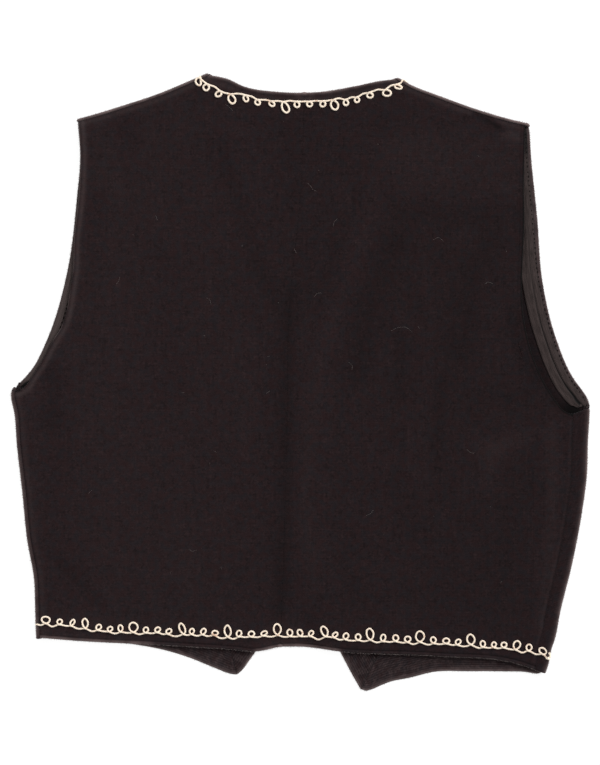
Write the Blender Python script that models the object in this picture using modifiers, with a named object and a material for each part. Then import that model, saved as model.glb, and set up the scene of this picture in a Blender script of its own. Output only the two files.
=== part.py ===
# Cropped waistcoat-style vest in fine ribbed cloth, laid flat on a surface, face down.
# Metres, +Z up. +X is the wearer's right, +Y runs up the back towards the neck.
# The fronts lie on the surface, wrap round the side and shoulder folds, and meet the back at its seams.

import math

import bmesh
import bpy
import numpy as np
from mathutils import Matrix, Vector

MM = 0.001

# Cloth and gaps
CLOTH = 1.2 * MM
FACING_CLOTH = 1.0 * MM
GAP = 0.3 * MM
SEAM_HALF_GAP = 0.15 * MM

# Heights of the middle of the cloth above the surface
FRONT_LEVEL = CLOTH / 2
BACK_LEVEL = 4.8 * MM
OPEN_SAG = 2.7 * MM
OPEN_SAG_FALL = 24 * MM
NECK_SAG_BELOW = 20 * MM
HEM_SAG_ABOVE = -190 * MM
SAG_END_FALL = 30 * MM
LAP_STEP = 1.8 * MM
LAP_STEP_FLAT = 13 * MM
LAP_STEP_FALL = 16 * MM

# Folds where the front turns over on to the back
SIDE_FOLD_RADIUS = 2.6 * MM
SHOULDER_FOLD_RADIUS = 1.9 * MM
SHOULDER_RUN = 0.4 * MM
SIDE_SEAM_DROP = {"left": 0.0 * MM, "right": 1.1 * MM}
SIDE_SEAM_INSET = {"left": (3.6 * MM, 3.6 * MM), "right": (15.2 * MM, 10.0 * MM)}
SIDE_SEAM_START = {"left": 2 * MM, "right": 9 * MM}
SIDE_BLEND = 26 * MM
SHOULDER_BLEND = 16 * MM

# Facings and bands on the inside of the fronts
ARMHOLE_FACING_WIDTH = 15 * MM
BAND_WIDTH = 26 * MM
EDGE_BAND_LENGTH = 62 * MM

# Lap of the two fronts, and its buttons
BUTTON_RADIUS = 7.5 * MM
BUTTON_THICK = 2.2 * MM
BUTTON_COUNT = 4
BUTTON_X = 3.8 * MM
BUTTON_TOP_Y = 14 * MM
BUTTON_PITCH = 54 * MM
LAP_RISE = BUTTON_THICK + 0.4 * MM
LAP_FLAT_HALF = 9 * MM
LAP_FALL = 30 * MM
LAP_FLAT_END = 12 * MM
LAP_END_FALL = 45 * MM

# Right armhole, where the back stands up off the front
ARMHOLE_LIFT = 0.9 * MM
ARMHOLE_LIFT_REACH = 20 * MM
ARMHOLE_LIFT_TOP = 100 * MM
ARMHOLE_LIFT_FULL = 30 * MM
ARMHOLE_LIFT_END = -24 * MM

# Grid of each panel: cells along each stretch of its edge
NECK_CELLS = 9
SHOULDER_CELLS = 13
ARMHOLE_CELLS = 21
SIDE_CELLS = 19
FRONT_CELLS = 30
FOLD_CELLS = 6
RUN_CELLS = {"left": 1, "right": 3}
STRIP_CELLS = 2
HEM_BAND_CELLS = 18
EDGE_BAND_CELLS = 8
BUTTON_SIDES = 24
SPLINE_STEPS = 12
RELAX_ROUNDS = 600

# Edges as seen from above, in millimetres from the middle of the laid garment: (x, y)
SHOULDER = {
    "left": [(-82.0, 278.8), (-97.9, 272.0), (-125.8, 260.3), (-160.9, 248.6),
             (-188.3, 240.2), (-200.5, 236.9)],
    "right": [(87.2, 275.0), (100.6, 267.5), (126.2, 257.6), (160.4, 245.3),
              (190.1, 236.6), (206.6, 232.8)],
}
SIDE = {
    "left": [(-259.2, -6.5), (-259.4, -13.0), (-256.8, -28.0), (-254.9, -54.7), (-249.8, -99.7),
             (-245.5, -142.0), (-239.2, -178.0), (-238.3, -205.0), (-237.4, -230.2)],
    "right": [(258.4, -14.5), (260.8, -22.0), (261.0, -29.0), (259.6, -50.0), (258.5, -83.5),
              (254.0, -117.7), (244.7, -166.0), (234.4, -207.4), (224.3, -258.1)],
}
FRONT_ARMHOLE = {
    "left": [(-197.8, 202.7), (-200.7, 166.7), (-209.7, 98.3), (-227.6, 38.4), (-241.5, 11.3),
             (-250.5, 1.2)],
    "right": [(208.2, 199.1), (213.8, 147.8), (218.4, 92.0), (230.1, 41.6), (247.4, 2.0)],
}
BACK_ARMHOLE = {
    "left": [(-198.6, 202.7), (-199.6, 166.7), (-205.7, 116.3), (-214.3, 68.0), (-223.0, 34.0),
             (-234.2, 15.9), (-243.5, 0.5)],
    "right": [(201.1, 183.8), (198.5, 101.0), (200.2, 62.3), (209.0, 24.5), (230.1, -16.5),
              (237.5, -24.0)],
}
BACK_NECK = [(-65.5, 273.1), (-49.3, 265.9), (-21.4, 261.5), (20.0, 261.5), (48.8, 266.3), (72.5, 271.1)]
CENTRE_BACK = [(3.8, 261.5), (0.6, 173.0), (-9.7, 65.0), (-11.5, -25.0), (-14.7, -151.0), (-17.8, -238.3)]
BACK_HEM = {
    "left": [(-17.8, -238.3), (-42.4, -242.4), (-55.0, -241.0), (-107.8, -237.4), (-201.4, -232.7)],
    "right": [(-17.8, -238.3), (1.1, -238.2), (36.2, -242.4), (124.4, -246.4), (193.7, -252.7)],
}
FRONT_EDGE = {
    "left": [(-73.6, 213.5), (-44.8, 132.5), (-13.3, 51.5), (5.6, 18.2), (15.0, -12.0), (16.4, -40.0),
             (16.4, -140.0), (13.5, -160.0), (2.9, -180.7), (-20.5, -213.5), (-46.6, -251.6)],
    "right": [(76.7, 236.0), (49.7, 159.5), (18.2, 83.0), (0.2, 42.5), (-7.4, 12.0), (-8.8, -20.0),
              (-8.8, -138.0), (-6.0, -158.0), (2.9, -180.7), (23.0, -217.0)],
}
FRONT_TIP = {"left": (-57.6, -263.8), "right": (55.4, -278.8)}
FRONT_HEM = {
    "left": [(-75.4, -257.7), (-97.0, -249.1), (-117.0, -242.6), (-152.8, -235.6), (-201.4, -230.7)],
    "right": [(65.0, -277.0), (80.3, -270.7), (99.2, -266.2), (121.7, -260.8), (149.6, -260.4),
              (187.4, -260.8),
              (214.4, -262.8)],
}

# Largest folds of the back, in millimetres: (name, start x, start y, end x, end y, half width, height)
BACK_FOLDS = [
    ("trough beside the lap", -11.5, 45, -12.5, -214, 8, -0.7),
    ("ridge over the right neck edge", 40, 84, 16, 10, 9, 0.7),
    ("trough beyond the lap", 50, 38, 77, 100, 9, -0.9),
    ("dent below it", 90, 28, 90, -6, 8, -0.7),
    ("ridge down the right half", 108, 74, 108, -79, 10, 0.9),
    ("trough down the right half", 126, 10, 127, -88, 9, -0.8),
    ("trough inside the right armhole", 153, 118, 153, 38, 10, -0.9),
    ("step across the right shoulder blade", 77, 164, 198, 155, 9, 0.8),
    ("hollow below the step", 82, 144, 188, 136, 9, -0.6),
    ("pinch at the right waist", 160, -42, 206, -92, 9, 0.6),
    ("ridge beside the right side seam", 222, -46, 202, -222, 10, 0.9),
    ("hollow at the hem", 36, -187, 36, -206, 10, -0.5),
    ("hollow by the left underarm", -220, 8, -221, -42, 10, -0.9),
    ("crease at the lower left", -226, -151, -176, -200, 7, -0.8),
    ("soft fold by the left shoulder", -176, 238, -142, 198, 13, -0.6),
    ("soft ridge by the left shoulder", -150, 246, -112, 214, 13, 0.5),
]

# Strips on the inside of each front: width, cells along it, material
STRIPS = {
    "armhole_facing": (ARMHOLE_FACING_WIDTH, ARMHOLE_CELLS, "facing"),
    "hem_band": (BAND_WIDTH, HEM_BAND_CELLS, "band"),
    "edge_band": (BAND_WIDTH, EDGE_BAND_CELLS, "band"),
}

COLLECTION = "cropped_vest"
MATERIALS = {
    "cloth": ((0.019, 0.013, 0.014), 0.85),
    "facing": ((0.045, 0.032, 0.031), 0.62),
    "band": ((0.024, 0.016, 0.017), 0.85),
    "button": ((0.012, 0.011, 0.011), 0.35),
}


def clear_scene():
    for old in list(bpy.data.objects):
        bpy.data.objects.remove(old, do_unlink=True)


def make_material(name):
    colour, roughness = MATERIALS[name]
    material = bpy.data.materials.new(name)
    material.use_nodes = True
    shader = material.node_tree.nodes["Principled BSDF"]
    shader.inputs["Base Color"].default_value = (*colour, 1)
    shader.inputs["Roughness"].default_value = roughness
    shader.inputs["Metallic"].default_value = 0
    material.diffuse_color = (*colour, 1)
    return material


# Curves: an edge is a smooth line through its few points, then evenly spaced points along it

def spline(points):
    points = np.asarray(points, float)
    lengths = np.linalg.norm(np.diff(points, axis=0), axis=1)[:, None]
    slopes = np.diff(points, axis=0) / lengths
    before, after = lengths[:-1], lengths[1:]
    inner = (slopes[:-1] * after + slopes[1:] * before) / (before + after)
    tangents = np.vstack([slopes[:1], inner, slopes[-1:]])
    steps = np.linspace(0, 1, SPLINE_STEPS, endpoint=False)[:, None]
    line = []
    for i, length in enumerate(lengths[:, 0]):
        start, end = points[i], points[i + 1]
        line.append(
            (2 * steps**3 - 3 * steps**2 + 1) * start
            + (steps**3 - 2 * steps**2 + steps) * length * tangents[i]
            + (3 * steps**2 - 2 * steps**3) * end
            + (steps**3 - steps**2) * length * tangents[i + 1]
        )
    return np.vstack([*line, points[-1:]])


def from_table(rows):
    return np.asarray(rows, float) * MM


def spaced(line, cells, start=0, end=None):
    """Evenly spaced points along a line, or along the stretch between two distances from its start."""
    along = np.concatenate([[0], np.cumsum(np.linalg.norm(np.diff(line, axis=0), axis=1))])
    wanted = np.linspace(start, end or along[-1], cells + 1)
    return np.column_stack([np.interp(wanted, along, line[:, axis]) for axis in (0, 1)])


def normals_of(line, side):
    """Unit normals that point out of the garment, of an edge that runs out from the neck and down."""
    tangents = np.gradient(line, axis=0)
    tangents /= np.linalg.norm(tangents, axis=1)[:, None]
    turned = np.column_stack([-tangents[:, 1], tangents[:, 0]])
    return turned if side == "right" else -turned


def smooth(value):
    value = np.clip(value, 0, 1)
    return value * value * (3 - 2 * value)


def distance_to(line, x, y):
    """Distance from each point to a line."""
    found = np.full(np.shape(x), np.inf)
    for start, end in zip(line[:-1], line[1:]):
        run = end - start
        share = ((x - start[0]) * run[0] + (y - start[1]) * run[1]) / (run @ run)
        share = np.clip(share, 0, 1)
        found = np.minimum(found, np.hypot(x - start[0] - share * run[0], y - start[1] - share * run[1]))
    return found


# Edges shared by the panels

def shoulder_outline(side):
    return spline(from_table(SHOULDER[side]))


def side_outline(side):
    return spline(from_table(SIDE[side]))


def inset(line, side, distance):
    return line - normals_of(line, side) * distance


def shoulder_fold_start(side):
    return inset(shoulder_outline(side), side, SHOULDER_FOLD_RADIUS + CLOTH / 2)


def shoulder_seam(side):
    return inset(shoulder_outline(side), side, SHOULDER_FOLD_RADIUS + CLOTH / 2 + SHOULDER_RUN)


def side_fold_start(side):
    return inset(side_outline(side), side, SIDE_FOLD_RADIUS + CLOTH / 2)


def side_seam(side):
    """The armhole edge slants down over the fold, so the seam starts a little below the fold's top."""
    line = side_outline(side)
    top, bottom = SIDE_SEAM_INSET[side]
    line = inset(line, side, np.linspace(top, bottom, len(line))[:, None])
    return spaced(line, len(line) - 1, start=SIDE_SEAM_START[side])


def front_inner_edge(side):
    corner = shoulder_fold_start(side)[0]
    run = np.vstack([corner, from_table(FRONT_EDGE[side]), from_table(FRONT_TIP[side])])
    return spline(run)


# Heights of the middle of the cloth

def lap_rise(x, y):
    """The buttons lift the lap, in a low bank that dies away all round."""
    across = 1 - smooth((np.abs(x - BUTTON_X) - LAP_FLAT_HALF) / LAP_FALL)
    top = BUTTON_TOP_Y + LAP_FLAT_END
    bottom = BUTTON_TOP_Y - (BUTTON_COUNT - 1) * BUTTON_PITCH - LAP_FLAT_END
    along = (1 - smooth((y - top) / LAP_END_FALL)) * (1 - smooth((bottom - y) / LAP_END_FALL))
    return LAP_RISE * across * along


def front_height(side, x, y):
    height = FRONT_LEVEL + lap_rise(x, y)
    if side == "left":
        edge = front_inner_edge("right")[::-1]
        outside = np.interp(y, edge[:, 1], edge[:, 0]) - x
        height = height + LAP_STEP * (1 - smooth((outside - LAP_STEP_FLAT) / LAP_STEP_FALL))
    return height


def open_sag(x, y):
    """The back sinks where no front lies under it: in the V of the neck and between the two points."""
    room = np.inf
    for side, sign in (("left", 1), ("right", -1)):
        edge = front_inner_edge(side)[::-1]
        room = np.minimum(room, sign * (x - np.interp(y, edge[:, 1], edge[:, 0])))
    along = smooth((y - NECK_SAG_BELOW) / SAG_END_FALL) + smooth((HEM_SAG_ABOVE - y) / SAG_END_FALL)
    return OPEN_SAG * smooth((room - GAP) / OPEN_SAG_FALL) * along


def fold_height(x, y, folds):
    height = np.zeros(np.shape(x))
    for _, x0, y0, x1, y1, half_width, rise in folds:
        away = distance_to(from_table([(x0, y0), (x1, y1)]), x, y) / (half_width * MM)
        height += rise * MM * np.exp(-away * away)
    return height


def back_height(x, y):
    height = BACK_LEVEL + lap_rise(x, y) - open_sag(x, y) + fold_height(x, y, BACK_FOLDS)
    away = distance_to(back_armhole("right"), x, y)
    up = smooth((ARMHOLE_LIFT_TOP - y) / (ARMHOLE_LIFT_TOP - ARMHOLE_LIFT_FULL))
    down = smooth((y - ARMHOLE_LIFT_END) / (ARMHOLE_LIFT_FULL - ARMHOLE_LIFT_END))
    height += ARMHOLE_LIFT * up * down * (1 - smooth(away / ARMHOLE_LIFT_REACH))
    for side in ("left", "right"):
        nearness = 1 - smooth(distance_to(side_seam(side), x, y) / SIDE_BLEND)
        height += nearness * (FRONT_LEVEL + 2 * SIDE_FOLD_RADIUS - SIDE_SEAM_DROP[side] - height)
        nearness = 1 - smooth(distance_to(shoulder_seam(side), x, y) / SHOULDER_BLEND)
        height += nearness * (FRONT_LEVEL + 2 * SHOULDER_FOLD_RADIUS - height)
    return height


# Panels

def back_armhole(side):
    rows = [shoulder_seam(side)[-1], *from_table(BACK_ARMHOLE[side]), side_seam(side)[0]]
    return spline(np.vstack(rows))


def back_neck_half(side):
    """From the centre back to the neck end of the shoulder seam."""
    ends = [shoulder_seam("left")[0], *from_table(BACK_NECK), shoulder_seam("right")[0]]
    whole = spline(np.vstack(ends))
    centre_x, _ = CENTRE_BACK[0]
    middle = np.argmin(np.abs(whole[:, 0] - centre_x * MM))
    return whole[middle:] if side == "right" else whole[: middle + 1][::-1]


def panel_points(top, outer, bottom, inner):
    """Points of a four-sided panel between its edges: rows run down, columns from inner to outer."""
    across = np.linspace(0, 1, len(top))[None, :, None]
    down = np.linspace(0, 1, len(inner))[:, None, None]
    rows = (1 - down) * top[None] + down * bottom[None]
    columns = (1 - across) * inner[:, None] + across * outer[:, None]
    corners = (
        (1 - down) * ((1 - across) * top[0] + across * top[-1])
        + down * ((1 - across) * bottom[0] + across * bottom[-1])
    )
    flat = rows + columns - corners
    for _ in range(RELAX_ROUNDS):
        flat[1:-1, 1:-1] = (flat[:-2, 1:-1] + flat[2:, 1:-1] + flat[1:-1, :-2] + flat[1:-1, 2:]) / 4
    return flat


def grid_mesh(points):
    """A bmesh grid whose vertices take the given rows and columns of 3D points."""
    rows, columns = points.shape[:2]
    panel = bmesh.new()
    bmesh.ops.create_grid(panel, x_segments=columns - 1, y_segments=rows - 1, size=1)
    panel.verts.ensure_lookup_table()
    for index, vert in enumerate(panel.verts):
        vert.co = points[index // columns, index % columns]
    return panel


def lifted(flat, height):
    return np.dstack([flat, height(flat[..., 0], flat[..., 1])])


def add_strip(panel, indices, profile):
    """Extrude a run of edge vertices along a list of positions for each step outwards."""
    panel.verts.ensure_lookup_table()
    rail = [panel.verts[i] for i in indices]
    for positions in profile:
        edges = [panel.edges.get(pair) for pair in zip(rail[:-1], rail[1:])]
        made = bmesh.ops.extrude_edge_only(panel, edges=edges)["geom"]
        fresh = {item for item in made if isinstance(item, bmesh.types.BMVert)}
        rail = [next(e.other_vert(v) for e in v.link_edges if e.other_vert(v) in fresh) for v in rail]
        for vert, position in zip(rail, positions):
            vert.co = position


def fold_profile(line, side, radius, seam, drop, run_cells):
    """Positions that turn up and over round a fold from a line on the surface, then run in to the seam."""
    out = normals_of(line, side)
    steps = []
    for i in range(1, FOLD_CELLS + 1):
        angle = math.pi * i / FOLD_CELLS
        flat = line + out * radius * math.sin(angle)
        level = FRONT_LEVEL + radius * (1 - math.cos(angle))
        steps.append(np.column_stack([flat, np.full(len(line), level)]))
    for i in range(1, run_cells + 1):
        share = i / run_cells
        flat = line + (seam - line) * share
        level = FRONT_LEVEL + 2 * radius - drop * smooth(share)
        steps.append(np.column_stack([flat, np.full(len(line), level)]))
    return steps


def finish_panel(name, panel, thickness, material, collection):
    bmesh.ops.recalc_face_normals(panel, faces=panel.faces)
    mesh = bpy.data.meshes.new(name)
    panel.to_mesh(mesh)
    panel.free()
    mesh.shade_smooth()
    mesh.materials.append(make_material(material))
    part = bpy.data.objects.new(name, mesh)
    collection.objects.link(part)
    wall = part.modifiers.new("wall", "SOLIDIFY")
    wall.thickness = thickness
    wall.offset = 0
    wall.use_even_offset = True
    wall.use_rim = True
    return part


def make_back(side, collection):
    neck = spaced(back_neck_half(side), NECK_CELLS)
    shoulder = spaced(shoulder_seam(side), SHOULDER_CELLS)
    top = np.vstack([neck, shoulder[1:]])
    top[NECK_CELLS] = shoulder[0]
    armhole = spaced(back_armhole(side), ARMHOLE_CELLS)
    seam = spaced(side_seam(side), SIDE_CELLS)
    outer = np.vstack([armhole, seam[1:]])
    inner = spaced(spline(from_table(CENTRE_BACK)), ARMHOLE_CELLS + SIDE_CELLS)
    bottom = spaced(spline(np.vstack([from_table(BACK_HEM[side]), seam[-1]])), NECK_CELLS + SHOULDER_CELLS)
    top[0] = inner[0]
    flat = panel_points(top, outer, bottom, inner)
    flat = pull_in(flat, side)
    return finish_panel(f"back_{side}", grid_mesh(lifted(flat, back_height)), CLOTH, "cloth", collection)


def pull_in(flat, side):
    """Leave the seam gaps: half at the centre back, and a whole one at the side and shoulder."""
    sign = 1 if side == "right" else -1
    flat[:, 0, 0] += sign * SEAM_HALF_GAP
    flat[ARMHOLE_CELLS:, -1] -= normals_of(flat[ARMHOLE_CELLS:, -1], side) * GAP
    flat[0, NECK_CELLS:] -= normals_of(flat[0, NECK_CELLS:], side) * GAP
    return flat


def make_front(side, collection):
    top = spaced(shoulder_fold_start(side), FRONT_CELLS)
    fold_line = spaced(side_fold_start(side), SIDE_CELLS)
    outer = np.vstack([spaced(front_armhole(side), ARMHOLE_CELLS), fold_line[1:]])
    inner = spaced(front_inner_edge(side), ARMHOLE_CELLS + SIDE_CELLS)
    bottom = spaced(front_hem(side), FRONT_CELLS)
    flat = panel_points(top, outer, bottom, inner)
    columns = FRONT_CELLS + 1
    panel = grid_mesh(lifted(flat, lambda x, y: front_height(side, x, y)))
    rows_of_side = range(ARMHOLE_CELLS, ARMHOLE_CELLS + SIDE_CELLS + 1)
    seam = spaced(side_seam(side), SIDE_CELLS)
    profile = fold_profile(fold_line, side, SIDE_FOLD_RADIUS, seam, SIDE_SEAM_DROP[side], RUN_CELLS[side])
    add_strip(panel, [row * columns + columns - 1 for row in rows_of_side], profile)
    seam = spaced(shoulder_seam(side), FRONT_CELLS)
    profile = fold_profile(top, side, SHOULDER_FOLD_RADIUS, seam, 0, 1)
    add_strip(panel, list(range(columns)), profile)
    return finish_panel(f"front_{side}", panel, CLOTH, "cloth", collection)


def mitred(line, corner, along, keep):
    """The part of a line that lies on one side of a mitre, cut where it crosses it."""
    away = line - corner
    beyond = keep * (along[0] * away[:, 1] - along[1] * away[:, 0]) - GAP / 2
    inside = beyond > 0
    last = np.flatnonzero(inside[1:] != inside[:-1])[0]
    share = beyond[last] / (beyond[last] - beyond[last + 1])
    crossing = line[last] + share * (line[last + 1] - line[last])
    if inside[0]:
        return np.vstack([line[: last + 1], crossing])
    return np.vstack([crossing, line[last + 1 :]])


def make_strip(kind, side, line, collection, mitre=None):
    """A strip of facing that lies inside an edge of a front, its end cut on the mitre where one is given."""
    width, cells, material = STRIPS[kind]
    rows = []
    for share in np.linspace(0, 1, STRIP_CELLS + 1):
        away = GAP + width * share
        moved = inset(line, side, away)
        if mitre:
            moved = mitred(moved, *mitre)
        rows.append(spaced(moved, cells))
    flat = np.stack(rows, axis=1)
    height = front_height(side, flat[..., 0], flat[..., 1]) + CLOTH / 2 + GAP + FACING_CLOTH / 2
    panel = grid_mesh(np.dstack([flat, height]))
    return finish_panel(f"{kind}_{side}", panel, FACING_CLOTH, material, collection)


def front_armhole(side):
    rows = [shoulder_fold_start(side)[-1], *from_table(FRONT_ARMHOLE[side]), side_fold_start(side)[0]]
    return spline(np.vstack(rows))


def front_hem(side):
    """From the point out to the side fold."""
    rows = [from_table(FRONT_TIP[side]), *from_table(FRONT_HEM[side]), side_fold_start(side)[-1]]
    return spline(np.vstack(rows))


def make_bands(side, collection):
    """The hem band and the edge band meet in a mitre at the point of the front."""
    hem = front_hem(side)[::-1]
    edge = front_inner_edge(side)[::-1]
    edge = spaced(edge, EDGE_BAND_CELLS * SPLINE_STEPS, end=EDGE_BAND_LENGTH)
    along_hem = Vector(hem[-SPLINE_STEPS] - hem[-1]).normalized()
    along_edge = Vector(edge[2] - edge[0]).normalized()
    mitre = (hem[-1], along_hem + along_edge, 1 if side == "left" else -1)
    make_strip("hem_band", side, hem, collection, mitre)
    make_strip("edge_band", side, edge, collection, (*mitre[:2], -mitre[2]))


def make_button(index, collection):
    shape = bmesh.new()
    bmesh.ops.create_cone(
        shape, cap_ends=True, segments=BUTTON_SIDES,
        radius1=BUTTON_RADIUS, radius2=BUTTON_RADIUS, depth=BUTTON_THICK,
    )
    y = BUTTON_TOP_Y - index * BUTTON_PITCH
    bmesh.ops.translate(shape, verts=shape.verts, vec=(BUTTON_X, y, BUTTON_THICK / 2))
    name = f"button_{index + 1}"
    mesh = bpy.data.meshes.new(name)
    shape.to_mesh(mesh)
    shape.free()
    mesh.materials.append(make_material("button"))
    part = bpy.data.objects.new(name, mesh)
    collection.objects.link(part)
    return part


def centre_on_footprint(parts):
    """Put the origin on the surface, under the middle of the laid garment."""
    graph = bpy.context.evaluated_depsgraph_get()
    corners = np.array([v.co for part in parts for v in part.evaluated_get(graph).data.vertices])
    low, high = corners.min(axis=0), corners.max(axis=0)
    shift = Matrix.Translation((-(low[0] + high[0]) / 2, -(low[1] + high[1]) / 2, -low[2]))
    for part in parts:
        part.data.transform(shift)


def main():
    clear_scene()
    collection = bpy.data.collections.new(COLLECTION)
    bpy.context.scene.collection.children.link(collection)
    for side in ("left", "right"):
        make_back(side, collection)
        make_front(side, collection)
        make_strip("armhole_facing", side, front_armhole(side), collection)
        make_bands(side, collection)
    for index in range(BUTTON_COUNT):
        make_button(index, collection)
    centre_on_footprint(list(collection.objects))


main()
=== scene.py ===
# Looks of a cropped waistcoat-style vest that lies face down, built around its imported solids.
# Metres, +Z up, +Y towards the neck, +X towards the wearer's right.

import math
import random

import bmesh
import bpy
import numpy as np
from mathutils import Matrix, Vector, noise


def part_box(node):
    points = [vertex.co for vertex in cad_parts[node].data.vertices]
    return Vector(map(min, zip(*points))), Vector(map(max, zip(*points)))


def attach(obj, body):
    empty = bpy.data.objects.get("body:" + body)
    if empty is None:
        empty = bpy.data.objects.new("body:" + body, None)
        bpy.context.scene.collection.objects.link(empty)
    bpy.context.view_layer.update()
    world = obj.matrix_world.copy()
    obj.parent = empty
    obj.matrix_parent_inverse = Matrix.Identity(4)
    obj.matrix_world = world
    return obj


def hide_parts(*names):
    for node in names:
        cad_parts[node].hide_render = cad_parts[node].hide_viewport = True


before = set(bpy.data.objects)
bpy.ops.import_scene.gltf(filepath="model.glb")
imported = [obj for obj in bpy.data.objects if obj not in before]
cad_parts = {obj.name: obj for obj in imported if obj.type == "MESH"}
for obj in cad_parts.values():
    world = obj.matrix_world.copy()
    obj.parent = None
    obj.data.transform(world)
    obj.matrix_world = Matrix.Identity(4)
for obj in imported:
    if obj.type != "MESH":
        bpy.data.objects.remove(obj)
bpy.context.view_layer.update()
mm = 0.001
print("frame loaded with", len(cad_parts), "nodes")

# Edges of the laid garment seen from above, in millimetres: (x, y), each from the neck outwards and down
edgesMm = {
    "shoulder": {
        "left": [(-82, 278.8), (-97.9, 272), (-125.8, 260.3), (-160.9, 248.6), (-188.3, 240.2),
                 (-200.5, 236.9)],
        "right": [(87.2, 275), (100.6, 267.5), (126.2, 257.6), (160.4, 245.3), (190.1, 236.6),
                  (206.6, 232.8)],
    },
    "side": {
        "left": [(-257.7, -4.6), (-259.4, -7.2), (-260.1, -10.5), (-259.9, -14), (-257, -28),
                 (-254.9, -54.7), (-249.8, -99.7), (-245.5, -142), (-239.2, -178), (-238.3, -205),
                 (-237.4, -230.2)],
        "right": [(261, -25), (260.8, -31), (259.6, -50), (258.5, -83.5), (254, -117.7),
                  (244.7, -166), (234.4, -207.4), (230.1, -229.9), (226, -242.6), (224.7, -250),
                  (223.7, -255), (222.2, -259), (221.5, -261.4)],
    },
    "frontArmhole": {
        "left": [(-197.8, 202.7), (-200.7, 166.7), (-209.7, 98.3), (-227.6, 38.4), (-241.5, 11.3),
                 (-250.2, 1.4), (-254.2, -2.2)],
        "right": [(206.9, 226), (207.7, 213), (208.7, 198.5), (210.7, 179), (213.9, 147.8),
                  (218.4, 92), (230.1, 41.6), (247.4, 2), (255.6, -9), (260, -17), (260.8, -23.8)],
    },
    "backArmhole": {
        "left": [(-197.2, 202.7), (-199.9, 156.5), (-202.8, 132.5), (-204.4, 97.1), (-207.2, 80),
                 (-210.4, 61.7), (-214, 51), (-221.6, 38.4), (-232.6, 18), (-237.8, 10), (-241.8, 3.8),
                 (-244.8, -0.8), (-248.2, -4.8), (-252, -7.2)],
        "right": [(202.1, 199), (201.6, 175), (202, 151), (201.6, 132), (200.8, 114),
                  (200.2, 101), (200.8, 62.3), (209, 24.5), (230.1, -16.5), (237.8, -25.9)],
    },
    "backNeck": [(-65.5, 273.1), (-49.3, 265.9), (-21.4, 261.5), (20, 261.5), (48.8, 266.3),
                 (72.5, 271.1)],
    "centreBack": [(3.8, 261.5), (0.6, 173), (-9.7, 65), (-11.5, -25), (-14.7, -151),
                   (-17.8, -238.3)],
    "backHem": {
        "left": [(-17.8, -238.3), (-42.4, -242.4), (-55, -241), (-107.8, -237.4), (-201.4, -232.7)],
        "right": [(-17.8, -238.3), (1.1, -238.2), (36.2, -242.4), (124.4, -246.4), (193.7, -252.7)],
    },
    "frontEdge": {
        "left": [(-73.6, 213.5), (-44.8, 132.5), (-13.3, 51.5), (5.6, 18.2), (15, -12), (16.4, -40),
                 (16.4, -140), (13.5, -160), (2.9, -180.7), (-20.5, -213.5), (-46, -251.4), (-53.4, -261)],
        "right": [(76.7, 236), (49.7, 159.5), (18.2, 83), (0.2, 42.5), (-7.4, 12), (-8.8, -20),
                  (-8.8, -138), (-6, -158), (2.9, -180.7), (23, -217), (51, -270.2)],
    },
    "frontTip": {"left": (-57.2, -263.4), "right": (54.6, -276.4)},
    "frontHem": {
        "left": [(-61.6, -262.9), (-75.4, -257.9), (-97, -249.1), (-117, -242.6), (-152.8, -235.6),
                 (-201.4, -230.7)],
        "right": [(59.4, -278), (64.3, -277), (69.8, -274.6), (80.3, -270.2), (99.2, -266.2),
                  (121.7, -260.8), (149.6, -260.4), (187.4, -260.6), (205, -261.2), (211, -262.4),
                  (215.2, -262.5)],
    },
}

# Heights and thicknesses, in millimetres
lay = {
    "cloth": 1.0, "frontLevel": 0.95, "backLevel": 4.9,
    "foldTop": {"side": 5.8, "shoulder": 4.4}, "blend": {"side": 26, "shoulder": 16},
    "neckSag": 1.2, "neckSagFall": 45, "neckSagBelow": 20,
    "hemSag": 2.6, "hemSagFall": 24, "hemSagAbove": -190, "sagEndFall": 30, "sagFrom": 0.3,
    "lapStep": 1.8, "lapStepFlat": 13, "lapStepFall": 16,
    "lapRise": 2.6, "lapFlatHalf": 9, "lapFall": 30, "lapFlatEnd": 12, "lapEndFall": 45,
    "shoulderRun": 0.4, "shoulderShort": {"left": 0.8, "right": 3.2},
    "seamDip": 0.5, "seamDipWidth": 1.1, "centreDip": 0.3, "sideSeamDrop": {"left": 0, "right": 1.1},
    "sideSeamInset": {"left": (3.6, 3.6), "right": (15.2, 10)}, "sideSeamStart": {"left": 0.8, "right": 5},
}
buttonPlan = {"x": 3.8, "topY": 14, "pitch": 54, "count": 4}

sides = ("left", "right")
lowCorner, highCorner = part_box("button_1")
buttonSpot = np.array([lowCorner.x + highCorner.x, lowCorner.y + highCorner.y]) / 2
layShift = buttonSpot - np.array([buttonPlan["x"], buttonPlan["topY"]]) * mm


# Curves along the edges

def placed(rows):
    return np.asarray(rows, float) * mm + layShift


def unplaced(value, axis):
    # a world coordinate in the millimetres of the lay
    return (value - layShift[axis]) / mm


def splineThrough(points, steps=12):
    points = np.asarray(points, float)
    lengths = np.linalg.norm(np.diff(points, axis=0), axis=1)[:, None]
    slopes = np.diff(points, axis=0) / lengths
    inner = (slopes[:-1] * lengths[1:] + slopes[1:] * lengths[:-1]) / (lengths[:-1] + lengths[1:])
    tangents = np.vstack([slopes[:1], inner, slopes[-1:]])
    t = np.linspace(0, 1, steps, endpoint=False)[:, None]
    line = []
    for i, length in enumerate(lengths[:, 0]):
        line.append(
            (2 * t**3 - 3 * t**2 + 1) * points[i]
            + (t**3 - 2 * t**2 + t) * length * tangents[i]
            + (3 * t**2 - 2 * t**3) * points[i + 1]
            + (t**3 - t**2) * length * tangents[i + 1]
        )
    return np.vstack([*line, points[-1:]])


def lengthsAlong(line):
    return np.concatenate([[0], np.cumsum(np.linalg.norm(np.diff(line, axis=0), axis=1))])


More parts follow.
